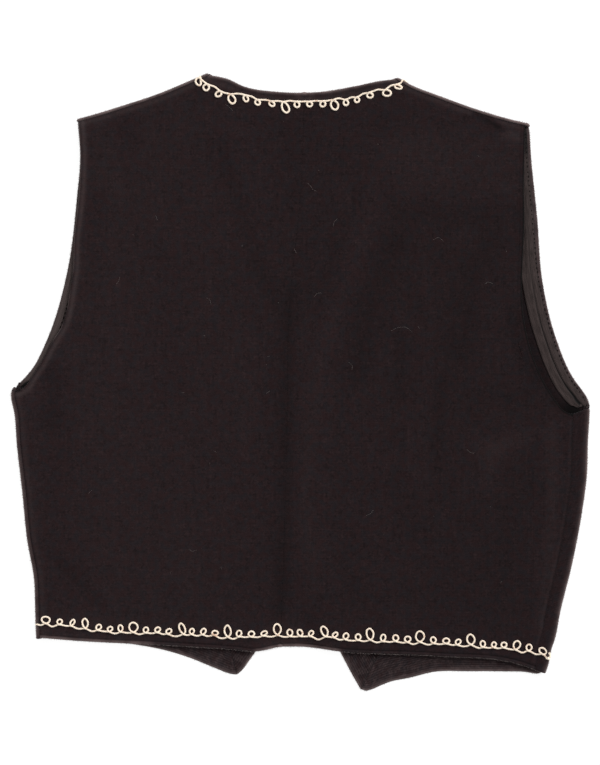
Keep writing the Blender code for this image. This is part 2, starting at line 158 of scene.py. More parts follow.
def interpolated(at, along, rows):
    return np.column_stack([np.interp(at, along, column) for column in rows.T])


def pointsAt(line, distances):
    return interpolated(distances, lengthsAlong(line), line)


def spaced(line, cells, start=0.0, end=None):
    return pointsAt(line, np.linspace(start, end or lengthsAlong(line)[-1], cells + 1))


def unitRows(rows):
    return rows / np.linalg.norm(rows, axis=1)[:, None]


def bisectorOf(first, second):
    return first / np.linalg.norm(first) + second / np.linalg.norm(second)


def outwardOf(line, side):
    tangents = unitRows(np.gradient(line, axis=0))
    turned = np.column_stack([-tangents[:, 1], tangents[:, 0]])
    return turned if side == "right" else -turned


def inset(line, side, distance):
    return line - outwardOf(line, side) * distance


def smooth(value):
    value = np.clip(value, 0, 1)
    return value * value * (3 - 2 * value)


def bell(value, width):
    return np.exp(-((value / width) ** 2))


def distanceTo(line, x, y):
    found = np.full(np.shape(x), np.inf)
    for start, end in zip(line[:-1], line[1:]):
        run = end - start
        share = np.clip(((x - start[0]) * run[0] + (y - start[1]) * run[1]) / (run @ run), 0, 1)
        found = np.minimum(found, np.hypot(x - start[0] - share * run[0], y - start[1] - share * run[1]))
    return found


def near(line, x, y, width, at=0):
    # 1 on the line that runs at a distance from an edge, falling off over a width, both in millimetres
    return bell(distanceTo(line, x, y) / mm - at, width)


# Edges that the panels share

halfCloth = lay["cloth"] / 2 * mm
frontLevel = lay["frontLevel"] * mm
foldRadius = {kind: (top - lay["frontLevel"]) / 2 * mm for kind, top in lay["foldTop"].items()}


def edgeLine(name, side=None):
    return splineThrough(placed(edgesMm[name][side] if side else edgesMm[name]))


def joined(first, name, side, last):
    # an edge between two ends that are worked out
    return splineThrough(np.vstack([first, placed(edgesMm[name][side]), last]))


def foldStart(kind, side, run=0):
    # where a front begins to turn up into its fold, or a run further in
    return inset(edgeLine(kind, side), side, foldRadius[kind] + halfCloth + run * mm)


def shoulderSeam(side):
    return foldStart("shoulder", side, lay["shoulderRun"])


def backShoulder(side):
    # the back stops short of the end of the fold, at the armhole
    line = shoulderSeam(side)
    return spaced(line, len(line) - 1, end=lengthsAlong(line)[-1] - lay["shoulderShort"][side] * mm)


def sideSeam(side):
    line = edgeLine("side", side)
    line = inset(line, side, np.linspace(*lay["sideSeamInset"][side], len(line))[:, None] * mm)
    return spaced(line, len(line) - 1, start=lay["sideSeamStart"][side] * mm)


def frontInnerEdge(side):
    return joined(foldStart("shoulder", side)[0], "frontEdge", side, placed(edgesMm["frontTip"][side]))


def frontArmhole(side):
    return joined(foldStart("shoulder", side)[-1], "frontArmhole", side, foldStart("side", side)[0])


def frontHem(side):
    return joined(placed(edgesMm["frontTip"][side]), "frontHem", side, foldStart("side", side)[-1])


def backArmhole(side):
    return joined(backShoulder(side)[-1], "backArmhole", side, sideSeam(side)[0])


def backHem(side):
    return splineThrough(np.vstack([placed(edgesMm["backHem"][side]), sideSeam(side)[-1]]))


def backNeck(side):
    rows = [shoulderSeam("left")[0], placed(edgesMm["backNeck"]), shoulderSeam("right")[0]]
    whole = splineThrough(np.vstack(rows), steps=24)
    middle = np.argmin(np.abs(whole[:, 0] - placed(edgesMm["centreBack"])[0, 0]))
    return whole[middle:] if side == "right" else whole[: middle + 1][::-1]


# Heights of the middle of the cloth

frontEdges = {side: frontInnerEdge(side)[::-1] for side in sides}


def frontEdgeX(side, y):
    return np.interp(y, frontEdges[side][:, 1], frontEdges[side][:, 0])


def lapRise(x, y):
    # the buttons under the lap lift it in a low bank
    top = buttonPlan["topY"] + lay["lapFlatEnd"]
    bottom = top - (buttonPlan["count"] - 1) * buttonPlan["pitch"] - 2 * lay["lapFlatEnd"]
    across = 1 - smooth((np.abs(unplaced(x, 0) - buttonPlan["x"]) - lay["lapFlatHalf"]) / lay["lapFall"])
    above = 1 - smooth((unplaced(y, 1) - top) / lay["lapEndFall"])
    below = 1 - smooth((bottom - unplaced(y, 1)) / lay["lapEndFall"])
    return lay["lapRise"] * mm * across * above * below


def frontHeight(side, x, y):
    height = frontLevel + lapRise(x, y)
    if side == "left":
        outside = (frontEdgeX("right", y) - x) / mm
        step = 1 - smooth((outside - lay["lapStepFlat"]) / lay["lapStepFall"])
        height = height + lay["lapStep"] * mm * step
    return height


def openSag(x, y):
    # the back sinks where no front lies under it
    room = np.minimum(x - frontEdgeX("left", y), frontEdgeX("right", y) - x) / mm - lay["sagFrom"]
    top = smooth((unplaced(y, 1) - lay["neckSagBelow"]) / lay["sagEndFall"])
    bottom = smooth((lay["hemSagAbove"] - unplaced(y, 1)) / lay["sagEndFall"])
    sag = lay["neckSag"] * top * smooth(room / lay["neckSagFall"])
    return (sag + lay["hemSag"] * bottom * smooth(room / lay["hemSagFall"])) * mm


# Folds and creases of the back, in millimetres: (name, points from end to end, half width, height, tone).
# Tone is how much lighter or darker the cloth is painted there, as a share: painted shade in hollows, creases
# and shaded zones, painted highlight on ridges and lit edges.
backFolds = [
    ("ridge along the lap", [(-2.3, 42), (-5.5, -61), (-9.0, -214)], 8, 0.45, 0),
    ("line by the lap", [(-7, 82), (-10, 52), (-13.3, -16), (-12.6, -124), (-19, -206)], 7.2, -0.3, -0.19),
    ("foot of that line", [(-16, -165), (-18, -206)], 10, 0, -0.05),
    ("band over the right neck edge", [(65, 205), (58.7, 137), (40.7, 83), (22.7, 33)], 8, 0.25, 0.06),
    ("band down the lap", [(18, 18), (9.4, -52), (5.5, -97), (7.4, -142), (13.7, -187)], 8, 0.15, 0.07),
    ("left neck edge", [(-73.6, 213.5), (-58.3, 168.5), (-40.3, 105.5), (-13.3, 51.5)], 8, -0.4, -0.11),
    ("right neck edge", [(76.7, 236), (56, 182), (31.7, 119), (16.4, 83)], 7, -0.4, -0.08),
    ("hollow of the neck", [(0, 225), (-2, 75)], 32, 0, -0.08),
    ("right shoulder blade", [(94, 207), (190, 204)], 25, 0.2, 0.12),
    ("right shoulder crease", [(158, 241), (170, 236), (178.5, 229.2), (183, 226.5)], 3, -0.4, -0.55),
    ("lit edge of that crease", [(184, 224.5), (196, 221)], 5, 0.3, 0.34),
    ("lower edge of the blade", [(98, 176), (196, 173)], 12, 0.1, 0.07),
    ("step below it", [(84, 151), (196, 147)], 9, -0.4, -0.10),
    ("trough beyond the lap", [(83, 122), (67.7, 83), (54, 33), (50, 8)], 13, -0.6, -0.17),
    ("dent below it", [(88.4, 40), (87.5, -16)], 5, -0.4, -0.13),
    ("ridge down the right half", [(112.7, 83), (112.7, 11), (98, -43), (98, -88)], 9, 0.5, 0.05),
    ("trough down the right half", [(126, 2), (121.7, -79)], 7, -0.4, -0.10),
    ("trough inside the right armhole", [(168.5, 123), (153.2, 92), (139.7, 25)], 14, -0.6, -0.12),
    ("dent above the pinch", [(168, -12), (205, -16)], 10, -0.3, -0.08),
    ("pinch at the right waist", [(165, -60), (200, -50)], 10, 0.35, 0.14),
    ("foot of the pinch", [(176, -62), (168, -92)], 9, 0.25, 0.12),
    ("hollow at the right waist", [(194, -90), (181, -160), (181, -196)], 18, -0.3, -0.07),
    ("ridge beside the right side seam", [(227, -40), (227, -124), (220.7, -196), (216, -222)], 8, 0.4, 0.17),
    ("hollow at the hem", [(36, -165), (49.7, -200)], 9, -0.4, -0.10),
    ("shade beyond the lap", [(33, 10), (34, -150)], 9, 0, -0.06),
    ("shade of the right half", [(112, 130), (120, 0)], 38, 0, -0.06),
    ("shade of the lower right", [(110, -110), (150, -170)], 30, 0, -0.05),
    ("hollow by the left underarm", [(-223, 6), (-224.8, -38)], 10, -0.5, -0.20),
    ("shade of the left side", [(-224, -50), (-214, -190)], 22, 0, -0.07),
    ("crease at the lower left", [(-224.8, -155), (-202.3, -178), (-179.8, -200)], 5.5, -0.5, -0.14),
    ("fold by the left shoulder", [(-157.3, 231), (-154.6, 209)], 9, -0.4, -0.09),
    ("ridge by the left shoulder", [(-179.8, 191), (-160, 168)], 8, 0.3, 0.05),
    ("shade inside the left armhole", [(-182.5, 164), (-182.5, 119)], 9, -0.2, -0.07),
    ("soft ridge of the left half", [(-60, 40), (-52, -40)], 14, 0.3, 0.03),
    ("soft hollow of the left half", [(-128, 120), (-120, -10)], 20, -0.3, -0.03),
    ("soft ridge above the left hem", [(-112, -140), (-100, -190)], 10, 0.3, 0.04),
]
backFinish = {
    # lines along the hem: distance from it, width and height
    "hemLines": [(2.8, 0.75, -0.45), (1.2, 0.9, 0.2)],
    # soft unevenness of the laid cloth: size, height and seed
    "waves": [(34, 0.22, 3.1), (9, 0.06, 7.7)],
    "armholeLift": 3.2, "liftReach": 17, "liftTop": 110, "liftFull": 30, "liftEnd": -26,
    # the dark line of shade under the left armhole edge shows in these stretches, and elsewhere the edge has
    # a painted highlight
    "leftLines": [(98, 82), (67, 51), (37, -12)], "leftLineFade": 6, "leftEdge": (0.1, 0.8, 0.8),
    # the centre seam is lost in the line beside the lap, below a height
    "centreWidth": 1.2, "centreTone": -0.09, "centreLeast": 0.25, "centreFrom": 40, "centreFade": 40,
    # painted light falling off to the right: tone for each millimetre to the right
    "toneSlope": -0.0003,
}


def foldSum(x, y, column):
    # what all folds add up to: their height or their tone of painted shade and highlight
    return sum(fold[column] * near(placed(fold[1]), x, y, fold[2]) for fold in backFolds)


def clouds(x, y, size, seed):
    flat = np.column_stack([np.ravel(x), np.ravel(y)]) / (size * mm)
    return np.reshape([noise.noise(Vector((px, py, seed))) for px, py in flat], np.shape(x))


# Painted sheen on the rolled edges of the outline, uneven like nap: tone on it, and how far in it fades, in
# millimetres
rimPlan = {
    "shoulder": (6.2, 1.8), "side": (6.2, 1.2), "hem": (6.2, 1.2), "neck": (6, 1.1), "armhole": (5.4, 0.8),
    "uneven": 0.7, "size": 6, "seed": 9.3,
    # the hem of the back has all of its painted sheen left of one place and between two others
    "hemLeast": 0.04, "hemLeft": (-150, 30), "hemMiddle": (-43, 33), "hemFade": 6,
}


# painted sheen along an edge, uneven, fading in from it
def rimTone(kind, x, y, away):
    tone, fade = rimPlan[kind]
    uneven = 1 + rimPlan["uneven"] * clouds(x, y, rimPlan["size"], rimPlan["seed"])
    return tone * uneven * np.exp(-np.maximum(away, 0) / fade)


def hemShare(x):
    x = unplaced(x, 0)
    leftEnd, leftFade = rimPlan["hemLeft"]
    low, high = rimPlan["hemMiddle"]
    fade = rimPlan["hemFade"]
    left = 1 - smooth((x - leftEnd) / leftFade)
    middle = smooth((x - low) / fade) * (1 - smooth((x - high) / fade))
    return rimPlan["hemLeast"] + (1 - rimPlan["hemLeast"]) * np.maximum(left, middle)


# Lines along each edge of the cloth, painted shade in its grooves and seams and painted highlight on the
# bands beside them: (distance from the edge, width, tone)
bothTones = {"neck": [(3, 1.2, -0.16), (6.8, 2.6, 0.35)],
             "hem": [(1.3, 0.8, 0.10), (3, 0.8, -0.36), (13, 9, 0.07)]}
edgeTones = {
    "left": {
        **bothTones, "side": [(0, 0.7, -0.26), (3, 2.4, 0.20)],
        "shoulder": [(0, 0.8, -0.08), (2.8, 2.2, 0.38)], "armhole": [(0.1, 0.8, -0.4), (3.6, 2.2, 0.62)],
    },
    "right": {
        **bothTones, "side": [(0, 0.9, -0.45), (2.4, 1.2, 0.15)],
        "shoulder": [(0, 0.8, -0.35), (2.8, 2.2, 0.36)], "armhole": [(0.2, 1.3, -0.75), (3.6, 0.6, -0.22)],
    },
}


def brokenLine(y):
    # where the dark line under the left edge of the back shows
    y, fade = unplaced(y, 1), backFinish["leftLineFade"]
    shown = [smooth((top - y) / fade + 0.5) * smooth((y - bottom) / fade + 0.5)
             for top, bottom in backFinish["leftLines"]]
    return np.max(shown, axis=0)


def seamShow(y):
    f = backFinish
    shown = smooth((unplaced(y, 1) - f["centreFrom"]) / f["centreFade"])
    return f["centreLeast"] + (1 - f["centreLeast"]) * shown


# Painted tone of the back: painted light falling off to the right, painted shade and highlight of the folds
# and along the edges, painted sheen on the neck and hem rims, and the dark line of the centre seam
def backTone(x, y):
    f = backFinish
    tone = f["toneSlope"] * unplaced(x, 0) + foldSum(x, y, 4)
    for side in sides:
        lines = {"neck": backNeck(side), "hem": backHem(side), "side": sideSeam(side),
                 "shoulder": shoulderSeam(side), "armhole": backArmhole(side)}
        for name, line in lines.items():
            away = distanceTo(line, x, y) / mm
            for at, width, share in edgeTones[side][name]:
                tone += share * bell(away - at, width)
            if name in ("neck", "hem"):
                tone += (hemShare(x) if name == "hem" else 1) * rimTone(name, x, y, away)
    # painted highlight on the left armhole edge where the dark line of shade doesn't show
    at, width, share = f["leftEdge"]
    tone += share * (1 - brokenLine(y)) * near(backArmhole("left"), x, y, width, at)
    return tone + f["centreTone"] * seamShow(y) * near(edgeLine("centreBack"), x, y, f["centreWidth"])


def seamDip(line, x, y):
    return lay["seamDip"] * mm * near(line, x, y, lay["seamDipWidth"])


def backHeight(x, y):
    f = backFinish
    height = lay["backLevel"] * mm + lapRise(x, y) - openSag(x, y) + foldSum(x, y, 3) * mm
    for size, rise, seed in f["waves"]:
        height += rise * mm * clouds(x, y, size, seed)
    away = distanceTo(backArmhole("right"), x, y) / mm
    up = smooth((f["liftTop"] - unplaced(y, 1)) / (f["liftTop"] - f["liftFull"]))
    down = smooth((unplaced(y, 1) - f["liftEnd"]) / (f["liftFull"] - f["liftEnd"]))
    height += f["armholeLift"] * mm * up * down * (1 - smooth(away / f["liftReach"]))
    for side in sides:
        for kind, seam, drop in (("side", sideSeam(side), lay["sideSeamDrop"][side]),
                                 ("shoulder", shoulderSeam(side), 0)):
            nearness = 1 - smooth(distanceTo(seam, x, y) / mm / lay["blend"][kind])
            height += nearness * ((lay["foldTop"][kind] - drop) * mm - height)
            height -= seamDip(seam, x, y)
        for at, width, rise in f["hemLines"]:
            height += rise * mm * near(backHem(side), x, y, width, at)
    return height - seamDip(edgeLine("centreBack"), x, y) * lay["centreDip"] * seamShow(y)


# Panels: a flat patch between four edges is evened out, then sampled more finely near its edges

panelPlan = {
    "cell": 2.6, "near": (0.4, 0.8, 1.2, 1.7, 2.2, 2.7, 3.2, 3.8, 4.6, 5.8, 7.4), "corner": (1.2, 2.6, 4.4),
    "frontCell": 4.2,
    # cells of the first patch along each edge
    "neck": 9, "shoulder": 13, "armhole": 21, "side": 19, "hem": 22, "middle": 40,
    "frontTop": 30, "frontHem": 30, "frontEdge": 40,
    # rounds that even out the patch each time it gets finer, and the cells round a fold and in to its seam
    "rounds": (600, 200, 100), "foldCells": 10, "foldGrade": 1.6,
}
# cells of the fine patch in each of these, and a share of one that rounding can't reach
fineCells = 4
tiny = 1e-6


def edgePoints(stretches, finer):
    rows = [spaced(line, cells * finer) for line, cells in stretches]
    return np.vstack([row[:-1] for row in rows[:-1]] + [rows[-1]])


def patchBetween(top, outer, bottom, inner):
    across = np.linspace(0, 1, len(top))[None, :, None]
    down = np.linspace(0, 1, len(inner))[:, None, None]
    rows = (1 - down) * top[None] + down * bottom[None]
    columns = (1 - across) * inner[:, None] + across * outer[:, None]
    corners = (
        (1 - down) * ((1 - across) * top[0] + across * top[-1])
        + down * ((1 - across) * bottom[0] + across * bottom[-1])
    )
    return rows + columns - corners


def twiceAsFine(grid):
    rows = np.empty((len(grid) * 2 - 1, grid.shape[1], 2))
    rows[::2] = grid
    rows[1::2] = (grid[:-1] + grid[1:]) / 2
    both = np.empty((len(rows), grid.shape[1] * 2 - 1, 2))
    both[:, ::2] = rows
    both[:, 1::2] = (rows[:, :-1] + rows[:, 1:]) / 2
    return both


def evenPatch(top, outer, bottom, inner):
    grid = None
    for finer, rounds in zip((1, 2, fineCells), panelPlan["rounds"]):
        edges = [edgePoints(edge, finer) for edge in (top, outer, bottom, inner)]
        grid = patchBetween(*edges) if grid is None else twiceAsFine(grid)
        grid[0] = edges[0]
        grid[-1] = edges[2]
        grid[:, 0] = edges[3]
        grid[:, -1] = edges[1]
        for _ in range(rounds):
            grid[1:-1, 1:-1] = (grid[:-2, 1:-1] + grid[2:, 1:-1] + grid[1:-1, :-2] + grid[1:-1, 2:]) / 4
    return grid


def gradedIndex(stretches, cell, endSteps):
    # positions along an edge in cells of the fine patch, with small steps near the ends of each stretch
    found = [np.zeros(1)]
    start = 0
    for number, (line, cells) in enumerate(stretches):
        length = lengthsAlong(line)[-1] / mm
        first, last = endSteps[number]
        low = first[-1] if first else 0
        high = length - (last[-1] if last else 0)
        middle = np.linspace(low, high, max(2, round((high - low) / cell) + 1))
        steps = np.concatenate([first[:-1], middle, [length - d for d in reversed(last[:-1])], [length]])
        steps = np.unique(np.round(steps[steps > 0], 6))
        found.append(start + steps / length * cells * fineCells)
        start += cells * fineCells
    return np.concatenate(found)


def sampled(grid, rows, columns):
    r = np.minimum(rows.astype(int), len(grid) - 2)
    c = np.minimum(columns.astype(int), grid.shape[1] - 2)
    fr = (rows - r)[:, None, None]
    fc = (columns - c)[None, :, None]
    upper = grid[r][:, c] * (1 - fc) + grid[r][:, c + 1] * fc
    lower = grid[r + 1][:, c] * (1 - fc) + grid[r + 1][:, c + 1] * fc
    return upper * (1 - fr) + lower * fr


def gridPanel(flat, level, tone, places=None):
    # a grid whose points take the flat patch and its level; each point remembers its place on the cloth
    # and its tone, mostly painted shade and painted highlight
    rows, columns = flat.shape[:2]
    places = flat if places is None else places
    panel = bmesh.new()
    place = panel.verts.layers.float_vector.new("place")
    bmesh.ops.create_grid(panel, x_segments=columns - 1, y_segments=rows - 1, size=1)
    verts = list(panel.verts)
    for index, vert in enumerate(verts):
        spot = divmod(index, columns)
        vert.co = (*flat[spot], level[spot])
        vert[place] = (*places[spot], tone[spot])
    return panel, [verts[start : start + columns] for start in range(0, len(verts), columns)]


def nextRail(panel, rail, positions, places, tones):
    # extrude a run of edge points to their next positions
    edges = [panel.edges.get(pair) for pair in zip(rail[:-1], rail[1:])]
    made = bmesh.ops.extrude_edge_only(panel, edges=edges)["geom"]
    new = {item for item in made if isinstance(item, bmesh.types.BMVert)}
    fresh = [next(e.other_vert(v) for e in v.link_edges if e.other_vert(v) in new) for v in rail]
    place = panel.verts.layers.float_vector["place"]
    for vert, position, flat, tone in zip(fresh, positions, places, tones):
        vert.co = position
        vert[place] = (*flat[:2], tone)
    return fresh


def foldStrip(panel, rail, line, side, kind, seam, runCells, drop=0):
    # turn the front up and over a fold, then run in to the seam
    out = outwardOf(line, side)
    radius = foldRadius[kind]
    run = np.linalg.norm(seam - line, axis=1)
    rails = [rail]
    arcCells = panelPlan["foldCells"]

    def grow(flat, level, places, away):
        positions = np.column_stack([flat, np.broadcast_to(level, len(line))])
        # painted sheen round the fold, strongest on its top
        tones = rimTone(kind, line[:, 0], line[:, 1], np.broadcast_to(away / mm, len(line)))
        rails.append(nextRail(panel, rails[-1], positions, places, tones))

    for i in range(1, arcCells + 1):
        angle = math.pi * i / arcCells
        level = frontLevel + radius * (1 - math.cos(angle))
        away = (radius + halfCloth) * (1 - math.sin(angle))
        grow(line + out * radius * math.sin(angle), level, line + out * radius * angle, away)
    for i in range(1, runCells + 1):
        share = 1 - (1 - i / runCells) ** panelPlan["foldGrade"]
        dip = lay["seamDip"] * bell((1 - share) * run / mm, lay["seamDipWidth"])
        level = (lay["foldTop"][kind] - drop * smooth(share) - dip) * mm
        places = line + out * (math.pi * radius + run * share)[:, None]
        grow(line + (seam - line) * share, level, places, radius + halfCloth + run * share)
    return rails


def turnedEdge(panel, rail, insideUp, radius, rim, share=1.0, turn=math.pi, under=(), cells=6):
    # roll an edge over to its inner side, and lay the turning back under the cloth
    panel.normal_update()
    place = panel.verts.layers.float_vector["place"]
    inside = [v.normal.copy() for v in rail]
    if (sum(n.z for n in inside) > 0) != insideUp:
        inside = [-n for n in inside]
    inRail = set(rail)
    outward = []
    inwardVote = 0
    for k, vert in enumerate(rail):
        tangent = rail[min(k + 1, len(rail) - 1)].co - rail[max(k - 1, 0)].co
        outward.append(tangent.cross(inside[k]).normalized())
        for edge in vert.link_edges:
            other = edge.other_vert(vert)
            if other not in inRail:
                inwardVote += outward[k].dot((other.co - vert.co).normalized())
    if inwardVote > 0:
        outward = [-out for out in outward]
    starts = [v.co.copy() for v in rail]
    flats = [Vector(v[place]) for v in rail]
    x, y = np.array(starts)[:, 0], np.array(starts)[:, 1]
    tones = np.array([flat.z for flat in flats])
    reach = (radius + halfCloth) / mm
    before = rimTone(rim, x, y, reach)
    for angle, run in [(turn * k / cells, 0) for k in range(1, cells + 1)] + [(turn, d * mm) for d in under]:
        positions = []
        places = []
        for start, out, into, flat in zip(starts, outward, inside, flats):
            spot = start + out * (radius * math.sin(angle)) + into * (radius * (1 - math.cos(angle)))
            positions.append(spot + (out * math.cos(angle) + into * math.sin(angle)) * run)
            places.append(flat + Vector((out.x, out.y, 0)) * (radius * angle + run))
        # painted sheen round the roll, strongest at its outer edge, in the given share
        lighter = rimTone(rim, x, y, reach * (1 - math.sin(angle))) - before
        rail = nextRail(panel, rail, positions, places, tones + share * lighter)


def asObject(name, shape, material):
    mesh = bpy.data.meshes.new(name)
    shape.to_mesh(mesh)
    shape.free()
    return asPiece(name, mesh, material)


def asPiece(name, mesh, material):
    mesh.shade_smooth()
    mesh.materials.clear()
    mesh.materials.append(material)
    piece = bpy.data.objects.new(name, mesh)
    bpy.context.scene.collection.objects.link(piece)
    return piece


def dressed(piece, nodes):
    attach(piece, "root")
    if nodes:
        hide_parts(*nodes)


def laidSheet(name, panel, thickness, material, node):
    # a panel as a piece of cloth: its place and tone as maps, and a wall of its thickness
    place = panel.verts.layers.float_vector["place"]
    uv = panel.loops.layers.uv.new("cloth")
    tone = panel.loops.layers.uv.new("tone")
    for face in panel.faces:
        for loop in face.loops:
            loop[uv].uv = loop.vert[place][:2]
            loop[tone].uv = (loop.vert[place][2], 0)
    panel.verts.layers.float_vector.remove(place)
    bmesh.ops.recalc_face_normals(panel, faces=panel.faces)
    piece = asObject(name, panel, material)
    wall = piece.modifiers.new("wall", "SOLIDIFY")
    wall.thickness = thickness * mm
    wall.offset = 0
    wall.use_rim = True
    dressed(piece, [node])


# Shader maths: a wrapped socket with plus and times, and one method for any other node

class Shade:
    def __init__(self, tree, socket):
        self.tree = tree
        self.socket = socket

    def node(self, kind, settings=None, sockets=None, output=0):
        made = self.tree.nodes.new(kind)
        for key, value in (settings or {}).items():
            setattr(made, key, value)
        for key, value in (sockets or {}).items():
            if isinstance(value, Shade):
                self.tree.links.new(value.socket, made.inputs[key])
            else:
                made.inputs[key].default_value = value
        return Shade(self.tree, made.outputs[output])

    def maths(self, operation, other=0.0, **settings):
        return self.node("ShaderNodeMath", {"operation": operation, **settings}, {0: self, 1: other})

    def __add__(self, other):
        return self.maths("ADD", other)

    def __mul__(self, other):
        return self.maths("MULTIPLY", other)

    def vectors(self, operation, other):
        return self.node("ShaderNodeVectorMath", {"operation": operation}, {0: self, 1: other})

    def over(self, low, high):
        # 0 below low, 1 above high, and smooth between
        sockets = {"Value": self, "From Min": low, "From Max": high}
        return self.node("ShaderNodeMapRange", {"interpolation_type": "SMOOTHSTEP"}, sockets)

    def blend(self, first, second):
        # colour that goes from first to second as this value goes from 0 to 1
        ends = [end if isinstance(end, Shade) else (*end, 1) for end in (first, second)]
        return self.node("ShaderNodeMix", {"data_type": "RGBA"}, {0: self, 6: ends[0], 7: ends[1]}, output=2)

    def noise(self, scale, detail=2.0, roughness=0.5):
        sockets = {"Vector": self, "Scale": scale, "Detail": detail, "Roughness": roughness}
        return self.node("ShaderNodeTexNoise", None, sockets)

    def feed(self, shader, name):
        self.tree.links.new(self.socket, shader.inputs[name])

    def bump(self, shader, distance):
        sockets = {"Height": self, "Distance": distance, "Strength": 1.0}
        self.node("ShaderNodeBump", None, sockets).feed(shader, "Normal")


shaderSockets = {
    "roughness": "Roughness", "specular": "Specular IOR Level", "sheen": "Sheen Weight",
    "sheenRoughness": "Sheen Roughness", "coat": "Coat Weight", "glow": "Emission Strength",
}


def finish(name, look):
    # a new material: its tree to start from, and its shader
    material = bpy.data.materials.new(name)
    material.use_nodes = True
    shader = material.node_tree.nodes["Principled BSDF"]
    for key, socket in shaderSockets.items():
        if key in look:
            shader.inputs[socket].default_value = look[key]
    return material, Shade(material.node_tree, None), shader


def clothPlace(start):
    # place on the cloth in millimetres: across and along
    uv = start.node("ShaderNodeUVMap", {"uv_map": "cloth"})
    place = start.node("ShaderNodeVectorMath", {"operation": "SCALE"}, {0: uv, "Scale": 1000.0})
    across = start.node("ShaderNodeSeparateXYZ", None, {0: place})
    return place, across, Shade(start.tree, across.socket.node.outputs[1])


clothLook = {
    "colour": (0.0071, 0.0040, 0.0046), "light": (0.0232, 0.0129, 0.0140), "lint": (0.06, 0.05, 0.048),
    # the colour of painted light, for sheen on rims and lit edges, then the colour of painted shade
    "paintedLight": (0.25, 0.185, 0.178), "dark": (0.0020, 0.0014, 0.0015),
    "roughness": 0.95, "specular": 0.08, "sheen": 0.10, "sheenRoughness": 0.45, "relief": 0.14,
    # pitch in millimetres, how far the warp bends them, and their shares of relief and tone
    "ribs": (1.8, 9.0, 0.13, 0.012), "courses": (1.5, 8.0, 0.26, 0.03),
    "warp": (0.35, 3.0), "grain": (1.3, 4.0, 0.65), "grainRelief": 1.2, "grainTone": 0.17,
    # noises of the tone: stretch, scale and share
    "mottles": [((1, 1, 1), 0.5, 0.86), ((1, 1, 1), 0.2, 0.56), ((1, 1, 1), 0.05, 0.26),
                ((1, 0.06, 1), 0.45, 0.29), ((0.06, 1, 1), 0.5, 0.232)],
    "toneRange": (0.83, 1.63),
    # patches with a cast: colour, shift and scale of the noise, and where it begins and is whole
    "casts": [((0.0112, 0.0092, 0.0112), (0, 0, 0), 0.15, 0.42, 0.62),
              ((0.0164, 0.0072, 0.0077), (310, 170, 40), 0.17, 0.46, 0.64)], "castShare": 0.6,
    "specks": (0.8, 1.0), "specksFrom": (0.80, 0.84),
}


# How far up a face has to point, and how far a tone of 1 goes towards the colours of painted shade and
# painted light
paintedShadingRange = {"facing": (-0.7, -0.3), "dark": -1.25, "paintedLight": 0.105}


def paintedShadingOf(start, colour, look):
    # painted shade in hollows and painted highlight and sheen on rims, as far as the piece says, and only on
    # the side that faces up
    paintedTone = start.node("ShaderNodeSeparateXYZ", None, {0: start.node("ShaderNodeUVMap", {"uv_map": "tone"})})
    normal = start.node("ShaderNodeNewGeometry", output=1)
    paintedTone *= start.node("ShaderNodeSeparateXYZ", None, {0: normal}, output=2).over(*paintedShadingRange["facing"])
    darker, lighter = [paintedTone.maths("MULTIPLY", paintedShadingRange[way], use_clamp=True) for way in ("dark", "paintedLight")]
    return lighter.blend(darker.blend(colour, look["dark"]), look["paintedLight"])


def clothFinish(name, look):
    material, start, shader = finish(name, look)
    place, across, along = clothPlace(start)
    warp = place.noise(*look["warp"])
    grain = place.noise(*look["grain"])
    relief = grain * look["grainRelief"]
    tone = grain * look["grainTone"]
    for way, (pitch, bend, rise, share) in ((across, look["ribs"]), (along, look["courses"])):
        wave = (way * (2 * math.pi / pitch) + warp * bend).maths("SINE")
        relief += wave * rise
        tone += wave * share
    relief.bump(shader, look["relief"] * mm)
    for stretch, scale, share in look["mottles"]:
        tone += place.vectors("MULTIPLY", stretch).noise(scale) * share
    colour = tone.over(*look["toneRange"]).blend(look["colour"], look["light"])
    for cast, shift, scale, low, high in look["casts"]:
        patches = place.vectors("ADD", shift).noise(scale, 3.0).over(low, high)
        colour = (patches * look["castShare"]).blend(colour, cast)
    specks = place.noise(*look["specks"]).over(*look["specksFrom"])
    specks.blend(paintedShadingOf(start, colour, look), look["lint"]).feed(shader, "Base Color")
    return material


facingLook = {
    "colour": (0.013, 0.0085, 0.0080), "light": (0.052, 0.036, 0.034), "roughness": 0.75,
    # the last two are the colours of painted light and of painted shade
    "specular": 0.15, "sheen": 0.10, "paintedLight": (0.09, 0.07, 0.067), "dark": (0.002, 0.0014, 0.0014),
    "stretch": (0.12, 1.6, 1), "streaks": (0.9, 4.0), "streakShare": 0.8,
    "grain": (2.2, 3.0), "grainShare": 0.5,
    "relief": 0.18, "toneRange": (0.4, 0.9),
}


def facingFinish(look):
    material, start, shader = finish("facingCloth", look)
    place = clothPlace(start)[0]
    streaks = place.vectors("MULTIPLY", look["stretch"]).noise(*look["streaks"])
    weave = streaks * look["streakShare"] + place.noise(*look["grain"]) * look["grainShare"]
    weave.bump(shader, look["relief"] * mm)
    colour = weave.over(*look["toneRange"]).blend(look["colour"], look["light"])
    paintedShadingOf(start, colour, look).feed(shader, "Base Color")
    return material


threadLook = {
    "colour": (0.88, 0.69, 0.53), "light": (0.99, 0.91, 0.77), "shade": (0.64, 0.38, 0.24),
    "roughness": 0.62, "sheen": 0.25,
}
# Noises of every thread, for each metre, and where they begin and are whole
threadGrain = {"fibres": (1500.0, 3.0), "relief": 0.12, "fibreRange": (0.3, 0.7), "patches": 160.0,
               "patchRange": (0.58, 0.80)}


